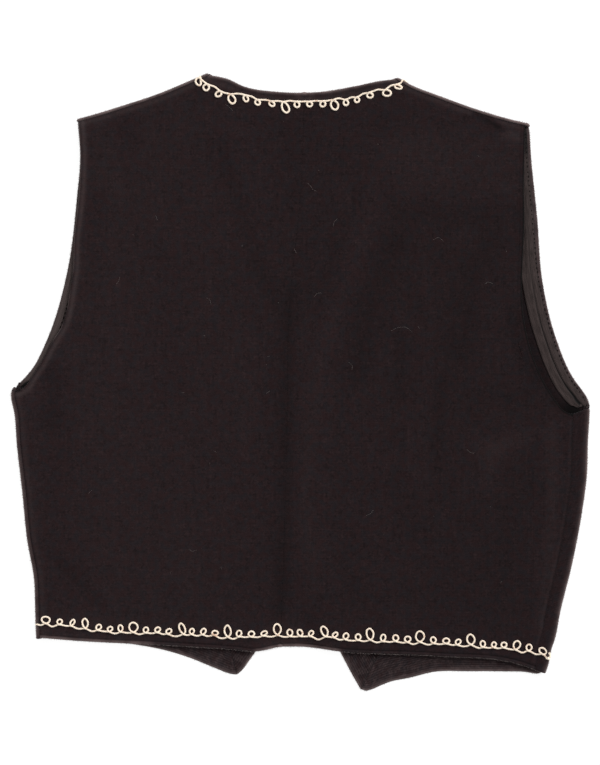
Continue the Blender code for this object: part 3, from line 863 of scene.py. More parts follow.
def threadFinish(name, look):
    t = threadGrain
    material, start, shader = finish(name, look)
    place = start.node("ShaderNodeTexCoord", output=3)
    fibres = place.noise(*t["fibres"])
    fibres.bump(shader, t["relief"] * mm)
    colour = fibres.over(*t["fibreRange"]).blend(look["colour"], look["light"])
    place.noise(t["patches"]).over(*t["patchRange"]).blend(colour, look["shade"]).feed(shader, "Base Color")
    return material


buttonLook = {
    "roughness": 0.33, "coat": 0.15, "marble": (260.0, 5.0), "range": (0.3, 0.8),
    "dark": (0.010, 0.009, 0.009), "light": (0.022, 0.019, 0.018),
    "roughnessFrom": 0.27, "roughnessShare": 0.12,
}


def buttonFinish(look):
    material, start, shader = finish("buttonPlastic", look)
    marble = start.node("ShaderNodeTexCoord", output=3).noise(*look["marble"])
    marble.over(*look["range"]).blend(look["dark"], look["light"]).feed(shader, "Base Color")
    (marble * look["roughnessShare"] + look["roughnessFrom"]).feed(shader, "Roughness")
    return material


backCloth = clothFinish("ribbedCloth", clothLook)
bandCloth = clothFinish("bandCloth", {**clothLook, "light": (0.054, 0.0365, 0.0372), "relief": 0.15})
facingCloth = facingFinish(facingLook)
trimThread = threadFinish("creamThread", threadLook)
sewingThread = threadFinish("blackThread", {
    "colour": (0.005, 0.0035, 0.0035), "light": (0.010, 0.007, 0.007), "shade": (0.003, 0.002, 0.002),
    "roughness": 0.9, "sheen": 0.0, "specular": 0.05,
})
buttonPlastic = buttonFinish(buttonLook)
print("finishes made")


# Back: two halves with turned edges at the neck, armhole and hem, joined by the centre back seam

backPlan = {
    "roll": 0.55, "under": (2, 5, 8), "seamGap": -0.03, "middleSteps": 200,
    # shares of the painted sheen on the armhole rims; below zero it turns to painted shade
    "leftArmholeRim": 0.6, "rightArmholeRim": -0.3,
    "cut": {"left": (0.275, 0.530), "right": (0.290, 0.545)}, "area": {"left": 0.119, "right": 0.126},
}


def makeBack(side):
    b = backPlan
    p = panelPlan
    fine, corner = p["near"], p["corner"]
    reach = b["roll"] * mm + halfCloth
    middle = edgeLine("centreBack")
    middle = spaced(middle, b["middleSteps"], start=reach, end=lengthsAlong(middle)[-1] - reach)
    top = [(inset(backNeck(side), side, reach), p["neck"]), (backShoulder(side), p["shoulder"])]
    outer = [(inset(backArmhole(side), side, reach), p["armhole"]), (sideSeam(side), p["side"])]
    patch = evenPatch(top, outer, [(inset(backHem(side), side, -reach), p["hem"])], [(middle, p["middle"])])
    rows = gradedIndex(outer, p["cell"], [(fine, corner), (corner, fine)])
    columns = gradedIndex(top, p["cell"], [(fine, ()), ((), fine)])
    flat = sampled(patch, rows, columns)
    flat[:, 0, 0] += b["seamGap"] * mm * (1 if side == "right" else -1)
    x, y = flat[..., 0], flat[..., 1]
    panel, points = gridPanel(flat, backHeight(x, y), backTone(x, y))
    neckEnd = np.searchsorted(columns, p["neck"] * fineCells - tiny)
    armholeEnd = np.searchsorted(rows, p["armhole"] * fineCells - tiny)
    armholeShare = b["rightArmholeRim"]
    if side == "left":
        armholeShare = b["leftArmholeRim"] * (1 - brokenLine(y[: armholeEnd + 1, -1]))
    rims = (
        (points[0][: neckEnd + 1], "neck", 1.0),
        ([row[-1] for row in points[: armholeEnd + 1]], "armhole", armholeShare),
        (points[-1], "hem", hemShare(x[-1])),
    )
    # painted sheen rolled round each turned edge, in its share
    for rail, rim, share in rims:
        turnedEdge(panel, rail, False, b["roll"] * mm, rim, share, under=b["under"])
    laidSheet(f"backCloth_{side}", panel, lay["cloth"], backCloth, f"back_{side}")


# Fronts: flat on the surface, turned up round the side and shoulder folds to the seams of the back

frontPlan = {
    # painted shade at the right underarm: its line, tone and width
    "underarm": [(241, -22), (248, -26)], "underarmTone": -0.75, "underarmWidth": 6,
    "armholeRoll": 0.5, "armholeUnder": (1.5, 3.4), "edgeRoll": 0.45, "arcCells": 4,
    # painted shade: the inside is darker up to a distance from the armhole
    "insideTone": {"left": -0.2, "right": -0.22}, "insideReach": 24, "insideFade": 10,
    # the painted sheen on the right armhole's rim fades out at the underarm, and this much of it goes on
    # round the side fold, as painted shade where below zero
    "rimFade": 9, "rimEnd": {"left": 0.9, "right": -0.2},
    # cells from each fold in to its seam
    "sideRun": {"left": 3, "right": 8}, "shoulderRun": 2,
    "cut": {"left": (0.300, 0.540), "right": (0.310, 0.560)}, "area": {"left": 0.109, "right": 0.117},
}


def mitrePoint(corner, firstInward, secondInward, distance):
    return corner + (firstInward + secondInward) * distance / (1 + firstInward @ secondInward)


def rimShare(side, x, y, corner):
    away = np.hypot(x - corner[0], y - corner[1]) / mm
    return smooth(away / frontPlan["rimFade"]) if side == "right" else np.ones(np.shape(x))


def makeFront(side):
    f = frontPlan
    p = panelPlan
    reach = f["edgeRoll"] * mm + halfCloth
    wholeArmhole, wholeEdge, wholeHem = frontArmhole(side), frontInnerEdge(side), frontHem(side)
    edgeInward, hemInward = outwardOf(wholeEdge, side), outwardOf(wholeHem, side)
    edge, hem = wholeEdge + edgeInward * reach, wholeHem + hemInward * reach
    edge[-1] = hem[0] = mitrePoint(wholeHem[0], edgeInward[-1], hemInward[0], reach)
    top = [(foldStart("shoulder", side), p["frontTop"])]
    outer = [(inset(wholeArmhole, side, f["armholeRoll"] * mm + halfCloth), p["armhole"]),
             (foldStart("side", side), p["side"])]
    patch = evenPatch(top, outer, [(hem, p["frontHem"])], [(edge, p["frontEdge"])])
    ends = (p["corner"], p["corner"])
    rows = gradedIndex(outer, p["frontCell"], [ends, ends])
    columns = gradedIndex(top, p["frontCell"], [ends])
    flat = sampled(patch, rows, columns)
    x, y = flat[..., 0], flat[..., 1]
    away = distanceTo(wholeArmhole, x, y) / mm
    # painted shade inside the armhole and at the right underarm, painted sheen along the armhole, hem and
    # edge
    tone = f["insideTone"][side] * (1 - smooth((away - f["insideReach"]) / f["insideFade"]))
    tone += rimShare(side, x, y, wholeArmhole[-1]) * rimTone("armhole", x, y, away)
    if side == "right":
        tone += f["underarmTone"] * near(placed(f["underarm"]), x, y, f["underarmWidth"])
    for line in (wholeHem, wholeEdge):
        tone += rimTone("hem", x, y, distanceTo(line, x, y) / mm)
    panel, points = gridPanel(flat, frontHeight(side, x, y), tone)
    armholeEnd = np.searchsorted(rows, p["armhole"] * fineCells - tiny)
    seam = sideSeam(side)
    seam = pointsAt(seam, (rows[armholeEnd:] / fineCells - p["armhole"]) / p["side"] * lengthsAlong(seam)[-1])
    rail = [row[-1] for row in points[armholeEnd:]]
    sideRails = foldStrip(panel, rail, flat[armholeEnd:, -1], side, "side", seam, f["sideRun"][side],
                          lay["sideSeamDrop"][side])[1:]
    seam = shoulderSeam(side)
    seam = pointsAt(seam, columns / fineCells / p["frontTop"] * lengthsAlong(seam)[-1])
    shoulderRails = foldStrip(panel, points[0], flat[0], side, "shoulder", seam, f["shoulderRun"])[:0:-1]
    armholeRail = [rail[-1] for rail in shoulderRails] + [row[-1] for row in points[: armholeEnd + 1]]
    armholeRail += [rail[0] for rail in sideRails]
    edgeSpots = flat[: armholeEnd + 1, -1]
    share = np.concatenate([np.zeros(len(shoulderRails)), rimShare(side, *edgeSpots.T, edgeSpots[-1]),
                            np.full(len(sideRails), f["rimEnd"][side])])
    edgeRail = [rail[0] for rail in shoulderRails] + [row[0] for row in points]
    edgeRail += points[-1][1:] + [rail[-1] for rail in sideRails]
    turnedEdge(panel, armholeRail, True, f["armholeRoll"] * mm, "armhole", share, under=f["armholeUnder"])
    turnedEdge(panel, edgeRail, True, f["edgeRoll"] * mm, "hem", turn=math.pi / 2, cells=f["arcCells"])
    laidSheet(f"frontCloth_{side}", panel, lay["cloth"], backCloth, f"front_{side}")


for side in sides:
    makeFront(side)
    makeBack(side)
print("panels made")


# Facings inside the armholes of the fronts, with their row of stitches

facingPlan = {
    "cloth": 0.4, "level": 2.68, "edgeDrop": 0.25, "edgeDropWidth": 0.5,
    "across": (0, 0.3, 0.7, 1.1, 1.6, 2.2, 2.9, 3.6, 4.2, 4.8, 5.3, 5.8, 6.3, 6.8, 7.4, 8.2, 9.2, 10.4, 11.6,
               12.8, 14, 15.2),
    "steps": 160, "start": {"left": 0.6, "right": 2.7},
    "drift": {"left": 0, "right": 0.8}, "driftAt": 112, "driftWidth": 45,
    "taperFrom": 25, "taperTo": {"left": 1, "right": 0.36},
    # the crease runs in from its place near the underarm, wider and deeper there
    "creaseAt": {"left": 5, "right": 9.4}, "creaseEnd": 4.6, "creaseRun": 20,
    "creaseWidth": {"left": 0.7, "right": 0.8}, "creaseWiden": 0.8, "creaseWideReach": 40,
    "creaseDepth": {"left": 0.35, "right": 1.1}, "creaseLeast": 0.2, "underarm": (0.35, 0.45),
    "innerEdge": -0.95, "innerFall": 5,
    # painted light over the left facing, which lies in the shade of the back
    "tone": {"left": 2, "right": 0}, "edgeTone": {"left": 0, "right": -0.5}, "edgeToneWidth": 0.6,
    # painted shade in the crease and along its end by the underarm
    "creaseTone": -0.75, "creaseToneWidth": 0.55, "creaseToneLeast": 0.25,
    "endTone": -2, "endToneWidth": 1.2, "endToneReach": 45,
    # painted shade at the top of the right facing, below the shoulder fold
    "topTone": {"left": 0, "right": -0.6}, "topEnd": 18, "topFall": 12,
    # painted shade in the gap that opens beside the left underarm: its tone, where it begins along and across
    "gapTone": {"left": 3.4, "right": 0}, "gapFrom": (15, 6), "gapInside": (2.6, 0.8),
    "cut": (0.055, 0.250), "area": 0.0046,
    "stitchIn": {"left": [(0, 7)], "right": [(0, 3.6), (60, 4.4), (95, 4.4), (132, 3.5), (155, 2.5),
                                              (180, 2.1), (230, 2.4), (262, 3)]},
    "stitchPitch": 4.3, "stitchFrom": (0.1, 0.35), "stitchLength": (1.0, 2.2), "stitchRise": (-0.2, 0.1),
    "stitchThread": 0.34, "stitchStray": 0.3, "seed": 4,
}


def makeFacing(side):
    f = facingPlan
    line = spaced(frontArmhole(side), f["steps"])
    run = lengthsAlong(line)[:, None] / mm
    toEnd = run[-1] - run
    across = np.array(f["across"])[None, :] * np.ones((len(line), 1))
    drift = f["drift"][side] * bell(run - f["driftAt"], f["driftWidth"])
    taper = 1 - (1 - f["taperTo"][side]) * np.maximum(1 - toEnd / f["taperFrom"], 0) ** 2
    away = drift + (f["start"][side] + across) * taper
    flat = line[:, None] - outwardOf(line, side)[:, None] * away[..., None] * mm
    underarm = smooth((run / run[-1] - f["underarm"][0]) / f["underarm"][1])
    creaseAt = f["creaseAt"][side]
    fromCrease = away - creaseAt - (f["creaseEnd"] - creaseAt) * (1 - smooth(toEnd / f["creaseRun"])) ** 2
    wide = f["creaseWidth"][side] * (1 + f["creaseWiden"] * smooth(1 - toEnd / f["creaseWideReach"]))
    level = f["level"] - f["edgeDrop"] * bell(across, f["edgeDropWidth"])
    depth, shade = [least + (1 - least) * underarm for least in (f["creaseLeast"], f["creaseToneLeast"])]
    level = level - f["creaseDepth"][side] * depth * bell(fromCrease, wide)
    level = (level + f["innerEdge"] * smooth(fromCrease / f["innerFall"])) * mm
    # painted shade in the crease, at the end, at the top and in the left gap, and painted light over the left
    # facing
    tone = f["creaseTone"] * shade * bell(fromCrease, f["creaseToneWidth"])
    tone += f["endTone"] * smooth(1 - toEnd / f["endToneReach"]) * bell(fromCrease, f["endToneWidth"])
    tone += f["edgeTone"][side] * bell(across, f["edgeToneWidth"]) + f["tone"][side]
    tone += f["topTone"][side] * (1 - smooth((run - f["topEnd"]) / f["topFall"]))
    (start, fade), (inside, insideFade) = f["gapFrom"], f["gapInside"]
    tone -= f["gapTone"][side] * smooth((start - toEnd) / fade) * smooth((away - inside) / insideFade)
    panel, _ = gridPanel(flat, level, tone, np.dstack([run * mm + 0 * across, across * mm]))
    laidSheet(f"armholeFacing_{side}", panel, f["cloth"], facingCloth, f"armhole_facing_{side}")
    stitchIn = np.array(f["stitchIn"][side])
    row = inset(line, side, np.interp(run, stitchIn[:, 0], stitchIn[:, 1]) * mm)
    length = lengthsAlong(row)[-1]
    count = int(length / (f["stitchPitch"] * mm))
    rng = random.Random(f["seed"])
    low, high = [(f["level"] + f["cloth"] / 2 + rise) * mm for rise in f["stitchRise"]]
    stitches = []
    for i in range(count):
        start = (i + rng.uniform(*f["stitchFrom"])) * length / count
        ends = pointsAt(row, [start, start + rng.uniform(*f["stitchLength"]) * mm])
        stray = np.array([[rng.uniform(-1, 1), rng.uniform(-1, 1)] for _ in ends])
        ends = ends + stray * f["stitchStray"] * mm
        stitches.append(np.array([(*ends[0], low), (*(ends[0] + ends[1]) / 2, high), (*ends[1], low)]))
    thread = cordMesh(f"armholeStitches_{side}", stitches, f["stitchThread"], sewingThread)
    dressed(thread, [])


# Bands along the hem and the cutaway edge of each front, ribbed, and mitred at the point

bandPlan = {
    "cloth": 0.6, "width": 26, "edgeLength": 62, "rib": 2, "ribAt": 1.1, "ribHeight": 0.16, "cell": 2.6,
    "first": (0.55, 0.8, 1.05), "step": 0.5, "rise": 0.9, "edgeDrop": 0.5, "edgeDropWidth": 0.8,
    # painted highlight on the rib tops and painted shade between them, and painted shade under the back's hem
    "ribTone": 0.28, "shadeTone": -0.13, "shadeReach": 6,
    # steps of the edge, and the points over which each side of the mitre takes its direction
    "edgeSteps": 240, "hemAlong": 35, "edgeAlong": 60,
    "hem": {"left": ((0.040, 0.200), 0.0046), "right": ((0.040, 0.175), 0.0040)},
    "edge": {"left": ((0.040, 0.075), 0.0014), "right": ((0.040, 0.075), 0.0014)},
}


def mitredPart(line, corner, along, keep):
    # the part of a line on one side of the mitre
    away = line - corner
    beyond = keep * (along[0] * away[:, 1] - along[1] * away[:, 0])
    inside = beyond > 0
    last = np.flatnonzero(inside[1:] != inside[:-1])[0]
    share = beyond[last] / (beyond[last] - beyond[last + 1])
    crossing = line[last] + share * (line[last + 1] - line[last])
    if inside[0]:
        return np.vstack([line[: last + 1], crossing])
    return np.vstack([crossing, line[last + 1:]])


def makeBand(kind, side, line, mitre):
    b = bandPlan
    first = b["first"]
    away = np.concatenate([first[:2], np.arange(first[2], b["width"], b["step"])])[None, :]
    cells = round(lengthsAlong(line)[-1] / mm / b["cell"])
    flat = np.stack([spaced(mitredPart(inset(line, side, d * mm), *mitre), cells) for d in away[0]], axis=1)
    x, y = flat[..., 0], flat[..., 1]
    ribs = np.cos((away - b["ribAt"]) * 2 * math.pi / b["rib"])
    drop = b["edgeDrop"] * (1 - smooth((away - first[0]) / b["edgeDropWidth"]))
    lift = b["rise"] + b["ribHeight"] * ribs - drop
    under = np.minimum(distanceTo(backHem("left"), x, y), distanceTo(backHem("right"), x, y)) / mm
    # painted shade and highlight with the ribs, painted sheen on the rim, and painted shade under the back's
    # hem
    tone = b["ribTone"] * ribs + rimTone("hem", x, y, away) + b["shadeTone"] * bell(under, b["shadeReach"])
    along = lengthsAlong(flat[:, 0])[:, None] + 0 * away
    places = np.dstack([away * mm + 0 * along, along])
    panel, _ = gridPanel(flat, frontHeight(side, x, y) + lift * mm, tone, places)
    laidSheet(f"{kind}Band_{side}", panel, b["cloth"], bandCloth, f"{kind}_band_{side}")


def makeBands(side):
    hem = frontHem(side)[::-1]
    edge = spaced(frontInnerEdge(side)[::-1], bandPlan["edgeSteps"], end=bandPlan["edgeLength"] * mm)
    alongHem = hem[-1 - bandPlan["hemAlong"]] - hem[-1]
    bisector = bisectorOf(alongHem, edge[bandPlan["edgeAlong"]] - edge[0])
    keep = 1 if side == "left" else -1
    makeBand("hem", side, hem, (hem[-1], bisector, keep))
    makeBand("edge", side, edge, (hem[-1], bisector, -keep))


def cordMesh(name, runs, radius, material, radii=None, corners=1):
    curve = bpy.data.curves.new(name, "CURVE")
    curve.dimensions = "3D"
    curve.bevel_depth = radius * mm
    curve.bevel_resolution = corners
    curve.use_fill_caps = True
    for number, run in enumerate(runs):
        line = curve.splines.new("POLY")
        line.points.add(len(run) - 1)
        line.points.foreach_set("co", np.column_stack([run, np.ones(len(run))]).ravel())
        if radii is not None:
            line.points.foreach_set("radius", radii[number])
    holder = bpy.data.objects.new(name, curve)
    mesh = bpy.data.meshes.new_from_object(holder)
    bpy.data.objects.remove(holder)
    bpy.data.curves.remove(curve)
    mesh.name = name
    return asPiece(name, mesh, material)


for side in sides:
    makeFacing(side)
    makeBands(side)
print("facings and bands made")


# Buttons on the outside of the lap: dished, with four holes and sewn thread

buttonShape = {
    "profile": [(0, 0.75), (3.4, 0.72), (4.3, 0.45), (5, 0.12), (6.2, 0), (7, 0.2), (7.45, 0.8), (7.4, 1.5),
                (6.8, 2), (5.2, 2.2), (0, 2.2)], "steps": 48,
    "hole": 0.75, "holeAt": 1.4, "holeMiddle": 1, "holeDepth": 4, "holeSides": 16,
    "thread": 0.28, "threadShift": 0.14, "threadLevels": (2.0, 0.7, 0.42),
}


def makeButton(number):
    b = buttonShape
    low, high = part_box(f"button_{number}")
    x, y = (low.x + high.x) / 2, (low.y + high.y) / 2
    disc = bmesh.new()
    points = [disc.verts.new((radius * mm, 0, level * mm)) for radius, level in b["profile"]]
    edges = [disc.edges.new(pair) for pair in zip(points[:-1], points[1:])]
    bmesh.ops.spin(disc, geom=points + edges, cent=(0, 0, 0), axis=(0, 0, 1), angle=2 * math.pi,
                   steps=b["steps"], use_merge=True)
    bmesh.ops.remove_doubles(disc, verts=disc.verts, dist=0.01 * mm)
    bmesh.ops.recalc_face_normals(disc, faces=disc.faces)
    bmesh.ops.translate(disc, verts=disc.verts, vec=(x, y, 0))
    button = asObject(f"sewnButton_{number}", disc, buttonPlastic)
    holes = bmesh.new()
    at = b["holeAt"] * mm
    radius = b["hole"] * mm
    for dx, dy in ((at, at), (-at, at), (-at, -at), (at, -at)):
        spot = Matrix.Translation((x + dx, y + dy, b["holeMiddle"] * mm))
        bmesh.ops.create_cone(holes, cap_ends=True, segments=b["holeSides"], radius1=radius, radius2=radius,
                              depth=b["holeDepth"] * mm, matrix=spot)
    cutter = asObject("holes", holes, buttonPlastic)
    cut = button.modifiers.new("holes", "BOOLEAN")
    cut.object = cutter
    cut.operation = "DIFFERENCE"
    graph = bpy.context.evaluated_depsgraph_get()
    button.data = bpy.data.meshes.new_from_object(button.evaluated_get(graph))
    button.modifiers.clear()
    bpy.data.objects.remove(cutter)
    dressed(button, [f"button_{number}"])
    raised, bent, sunk = [level * mm for level in b["threadLevels"]]
    runs = []
    for line in (y + at, y - at):
        for shift in (-b["threadShift"] * mm, b["threadShift"] * mm):
            row = [(x - at, line + shift, raised), (x - at, line + shift, bent), (x - at / 2, line, sunk),
                   (x + at / 2, line, sunk), (x + at, line - shift, bent), (x + at, line - shift, raised)]
            runs.append(splineThrough(row, steps=4))
    dressed(cordMesh(f"buttonThread_{number}", runs, b["thread"], sewingThread), [])


for number in range(1, buttonPlan["count"] + 1):
    makeButton(number)
print("buttons made")


# Trim: a cream two-strand cord couched in loops along the neck and the hem, on round the folds to the fronts

trimPlan = {
    "strand": 0.47, "side": 0.43, "rise": 0.24, "lift": 0.6, "pitch": 2.2, "step": 0.34, "crossing": 0.95,
    "underStrand": 0.21, "underLift": 0.23, "underStep": 0.8, "frontInset": 9, "loopPitch": 10.8,
    "nub": 0.15, "nubPitch": 1.7, "nubSecond": 2.3, "neckEnd": 48, "hemEnd": -186,
    "hemAlong": 36, "edgeAlong": 24, "foldSteps": 15, "foldGap": 3, "routeStep": 0.4, "routeRounds": 3,
    "calmReach": 60, "calmWidth": 20,
    "flatFrom": 0.999, "calmFrom": 0.75, "topFrom": 0.98,
    "loopFade": 1.5, "endGap": 6, "largeEvery": 4, "loopVary": (0.88, 1.12),
    "frontLoops": {"large": (-1.4, 6.8, 9.6), "small": (0.5, 4.9, 5.1)}, "seed": 11,
}
# The cord into a loop and out of it: place along, out in shares of the height, and how far it is lifted
loopIn = [(-1.6, 0, 0), (-0.2, 0.04, 0)]
loopOut = [(0.2, 0.02, 1), (1.6, 0, 0.4)]
# A loop, in shares of its half width and height, with how far the cord is lifted where it crosses itself
loopShape = [(0.50, 0.17, 0), (0.94, 0.50, 0), (0.66, 0.86, 0), (0, 1, 0), (-0.66, 0.86, 0),
             (-0.94, 0.50, 0.15), (-0.48, 0.15, 0.6)]
# Each loop from left to right: where the cord crosses, how far the end of the loop leans, its width and
# height, and the lowest place of the cord after it
neckTrim = {
    "start": [(-88.4, 271.6)], "away": -1, "fold": "shoulder", "raise": 0, "raiseDips": -0.9, "weight": 1.10,
    "loopWeight": 0.14, "round": {"left": [(8.3, 1.5, 5, 5.6)], "right": [(12, 0.5, 5, 5)]},
    "loops": [
        (-82.9, 268, 0.4, 5.3, 5.9, -77, 266.5),
        (-71.4, 261.8, -1.1, 4.9, 5.7, -66, 260.5), (-62, 259.2, 2.7, 6.7, 8.3, -54.6, 260.1),
        (-48.9, 258.3, 1.6, 5, 5.6, -43.2, 257.6), (-37.8, 254.1, 1, 4.9, 4.6, -32.5, 254.8),
        (-25.6, 252.9, 1.3, 5, 4.6, -20, 253.5), (-14.6, 252.5, 2.9, 6.5, 10.1, -9, 253.7),
        (-2.7, 252.6, 0.6, 5, 5.3, 2.9, 253.2), (8.6, 252.6, 0, 5, 4.7, 14.1, 253.7),
        (20.6, 252.9, -0.3, 5.3, 5, 25.4, 254), (30.2, 254.1, 1.1, 7, 9.1, 35.7, 256.1),
        (41.2, 254.1, 0, 4.7, 5.1, 45.9, 256.9), (51, 256.3, -0.5, 4.5, 4.6, 57.3, 260.2),
        (62, 260.4, 1.1, 5.7, 4.9, 70.8, 263.7), (76.7, 263.1, 1.3, 7.4, 6.2, 82.5, 267.7),
        (86.2, 267.6, 3.1, 5, 4.7, 91.1, 269.9),
    ],
}
hemTrim = {
    "start": [(-239.2, -217.4), (-233.4, -218.3)], "away": 1, "fold": "side", "raise": 0.4, "raiseDips": 0.6,
    "weight": 0.99, "loopWeight": 0.04, "round": {"left": [(17, 0.5, 5, 5)], "right": [(7.2, 0.3, 4.8, 5.6)]},
    "loops": [
        (-228.2, -217.5, -0.3, 5.2, 6.2, -222.8, -220.2), (-216.4, -218.4, 0.5, 5, 4.7, -210.7, -219.6),
        (-205.8, -219.7, 1.4, 3.6, 6.1, -199.6, -222), (-192.9, -222, -1.8, 5.6, 8.8, -186.6, -224.5),
        (-181.9, -223.6, 1.1, 4.8, 5.4, -175.8, -224.7), (-171.6, -224.8, 1.1, 4.9, 4.6, -167.2, -226.6),
        (-161.1, -225.2, -0.5, 4.3, 6.4, -154.6, -225.9),
        (-149.5, -225.7, -0.5, 8.5, 9.1, -144, -227.3), (-138.8, -225.9, 0.5, 4.9, 5, -133.5, -226.5),
        (-128.6, -225.6, 0.7, 4.9, 4.8, -122.7, -227.2), (-119.1, -227, 1.8, 5, 5, -113.2, -228.9),
        (-104.1, -227.4, -3.1, 5.6, 10.1, -101.1, -228.1), (-97.4, -227.3, 0.7, 4.4, 5.3, -92.5, -228.8),
        (-87.5, -227.5, 1, 4.8, 5.5, -84, -228.9), (-76.7, -228.1, 0.3, 5.9, 4.2, -71.8, -230.6),
        (-64.4, -230, -1.6, 6.7, 10.8, -59.9, -231.5), (-54.9, -229.5, 0.6, 5, 5.7, -49.3, -229.8),
        (-43.9, -229.5, 0.4, 5.9, 5, -38.1, -230), (-32.9, -228.6, 2, 5.4, 4.3, -25.9, -229.3),
        (-20, -228.2, -0.6, 6.8, 10.4, -13.8, -229.7), (-8.6, -229.4, -0.7, 5.2, 6.4, -4.3, -229.6),
        (0.6, -229.2, -0.8, 5, 6, 4.2, -229.5), (9.1, -229.1, 1.3, 4.5, 5, 16.8, -231.8),
        (23.6, -229.5, -2.9, 6.3, 9.5, 26.7, -229.7), (30.6, -230.1, 1.6, 4.5, 4.9, 35.3, -232.1),
        (40.5, -231.8, 0.8, 5, 5.8, 45.6, -233), (52.4, -232.6, -0.5, 5, 5.6, 57.3, -233.4),
        (63.5, -232.6, -1.6, 6.7, 10.6, 69.5, -234.5), (74.4, -233.6, 0.5, 4.8, 6.2, 80.3, -234.1),
        (86.3, -233.6, -0.1, 5.2, 5.7, 92.4, -234.9), (96.7, -234.4, 0, 5.8, 5.4, 101.9, -236.1),
        (108, -234.4, -0.2, 8.3, 10, 115.8, -236.6), (120.5, -235.5, -0.7, 5, 5.9, 125.7, -236.2),
        (131.3, -235.7, 0, 6.3, 4.9, 137.4, -236.9), (141.5, -236.8, 1.4, 4.8, 5.2, 147.3, -238.1),
        (153.9, -236.9, -1.3, 7.4, 9.5, 161.7, -239.6), (164.8, -239, -0.8, 4.8, 5.9, 169.8, -239.5),
        (174.1, -239.2, 0.2, 4.1, 5.1, 178.7, -239.9), (182.9, -239.3, 0.5, 5, 5, 188.7, -240.6),
        (194, -241.2, 0.7, 6.5, 8.3, 200, -243.6), (205.5, -242.2, 0.2, 5.4, 6, 212.1, -245),
        (218.7, -245.4, -1.7, 5, 5.8, 223.9, -249.7),
    ],
}


def frontTrimLine(side, kind):
    # where the trim goes on across the hidden front, from its fold to its end
    inwards = trimPlan["frontInset"] * mm
    plainEdge = frontInnerEdge(side)
    edge = plainEdge + outwardOf(plainEdge, side) * inwards
    if kind == "shoulder":
        return edge[edge[:, 1] > placed([(0, trimPlan["neckEnd"])])[0, 1]]
    hem = frontHem(side)
    corner = hem[0]
    alongHem = hem[trimPlan["hemAlong"]] - corner
    bisector = bisectorOf(alongHem, plainEdge[-1 - trimPlan["edgeAlong"]] - plainEdge[-1])
    keep = 1 if side == "left" else -1
    hem = mitredPart(hem + outwardOf(hem, side) * inwards, corner, bisector, keep)
    edge = mitredPart(edge, corner, bisector, -keep)
    edge = edge[edge[:, 1] < placed([(0, trimPlan["hemEnd"])])[0, 1]]
    return np.vstack([hem[::-1], edge[::-1]])


def roundFold(kind, side, meeting):
    # from the top of the fold round to the underside: positions, and the way out of the cloth
    line = foldStart(kind, side)
    radius = foldRadius[kind]
    nearest = np.argmin(np.linalg.norm(line - meeting, axis=1))
    out = outwardOf(line, side)[nearest]
    centre = np.array([*line[nearest], frontLevel + radius])
    rows = []
    for angle in np.linspace(math.pi / 2, -math.pi / 2, trimPlan["foldSteps"]):
        share = (math.pi / 2 - angle) / math.pi
        lift = trimPlan["lift"] * (1 - share) + trimPlan["underLift"] * share
        normal = np.array([*(out * math.cos(angle)), math.sin(angle)])
        rows.append((*(centre + normal * (radius + halfCloth + lift * mm)), *normal))
    return np.array(rows)


def trimRoute(plan):
    # rows of position and outward direction, from the end on the left front to the end on the right front
    chain = list(plan["start"])
    for x, y, _, _, _, dipX, dipY in plan["loops"]:
        chain += [(x, y + plan["raise"]), (dipX, dipY + plan["raiseDips"])]
    chain = splineThrough(placed(chain))
    ends = {}
    for side, start in (("left", chain[0]), ("right", chain[-1])):
        around = roundFold(plan["fold"], side, start)
        under = frontTrimLine(side, plan["fold"])
        under = under[np.linalg.norm(under - around[-1, :2], axis=1) > trimPlan["foldGap"] * mm]
        rest = (frontLevel - halfCloth - trimPlan["underLift"] * mm, 0, 0, -1)
        ends[side] = np.vstack([around, np.column_stack([under, np.tile(rest, (len(under), 1))])])
    first, last = ends["left"][0, :2], ends["right"][0, :2]
    axis = last - first
    inner = ((chain - first) @ axis > 0) & ((chain - last) @ axis < 0)
    chain = chain[inner]
    top = backHeight(chain[:, 0], chain[:, 1]) + halfCloth + trimPlan["lift"] * mm
    rows = np.column_stack([chain, top, np.tile((0, 0, 1), (len(chain), 1))])
    route = np.vstack([ends["left"][::-1], rows, ends["right"]])
    along = lengthsAlong(route[:, :3])
    even = np.arange(0, along[-1], trimPlan["routeStep"] * mm)
    route = interpolated(even, along, route)
    for _ in range(trimPlan["routeRounds"]):
        route[1:-1] = (route[:-2] + 2 * route[1:-1] + route[2:]) / 4
    return even, route


def straightened(route):
    # the route without the dips between its loops, where the cloth is flat
    t = trimPlan
    reach = t["calmReach"]
    weights = bell(np.arange(-reach, reach + 1), t["calmWidth"] * math.sqrt(2))
    weights /= weights.sum()

    def evened(values):
        return np.convolve(np.pad(values, reach, mode="edge"), weights, mode="valid")

    isFlat = np.abs(route[:, 5]) > t["flatFrom"]
    flatness = smooth((evened(isFlat * 1.0) - t["calmFrom"]) / (1 - t["calmFrom"]))
    calm = np.column_stack([evened(route[:, k]) for k in range(3)])
    return route[:, :3] + (calm - route[:, :3]) * flatness[:, None]


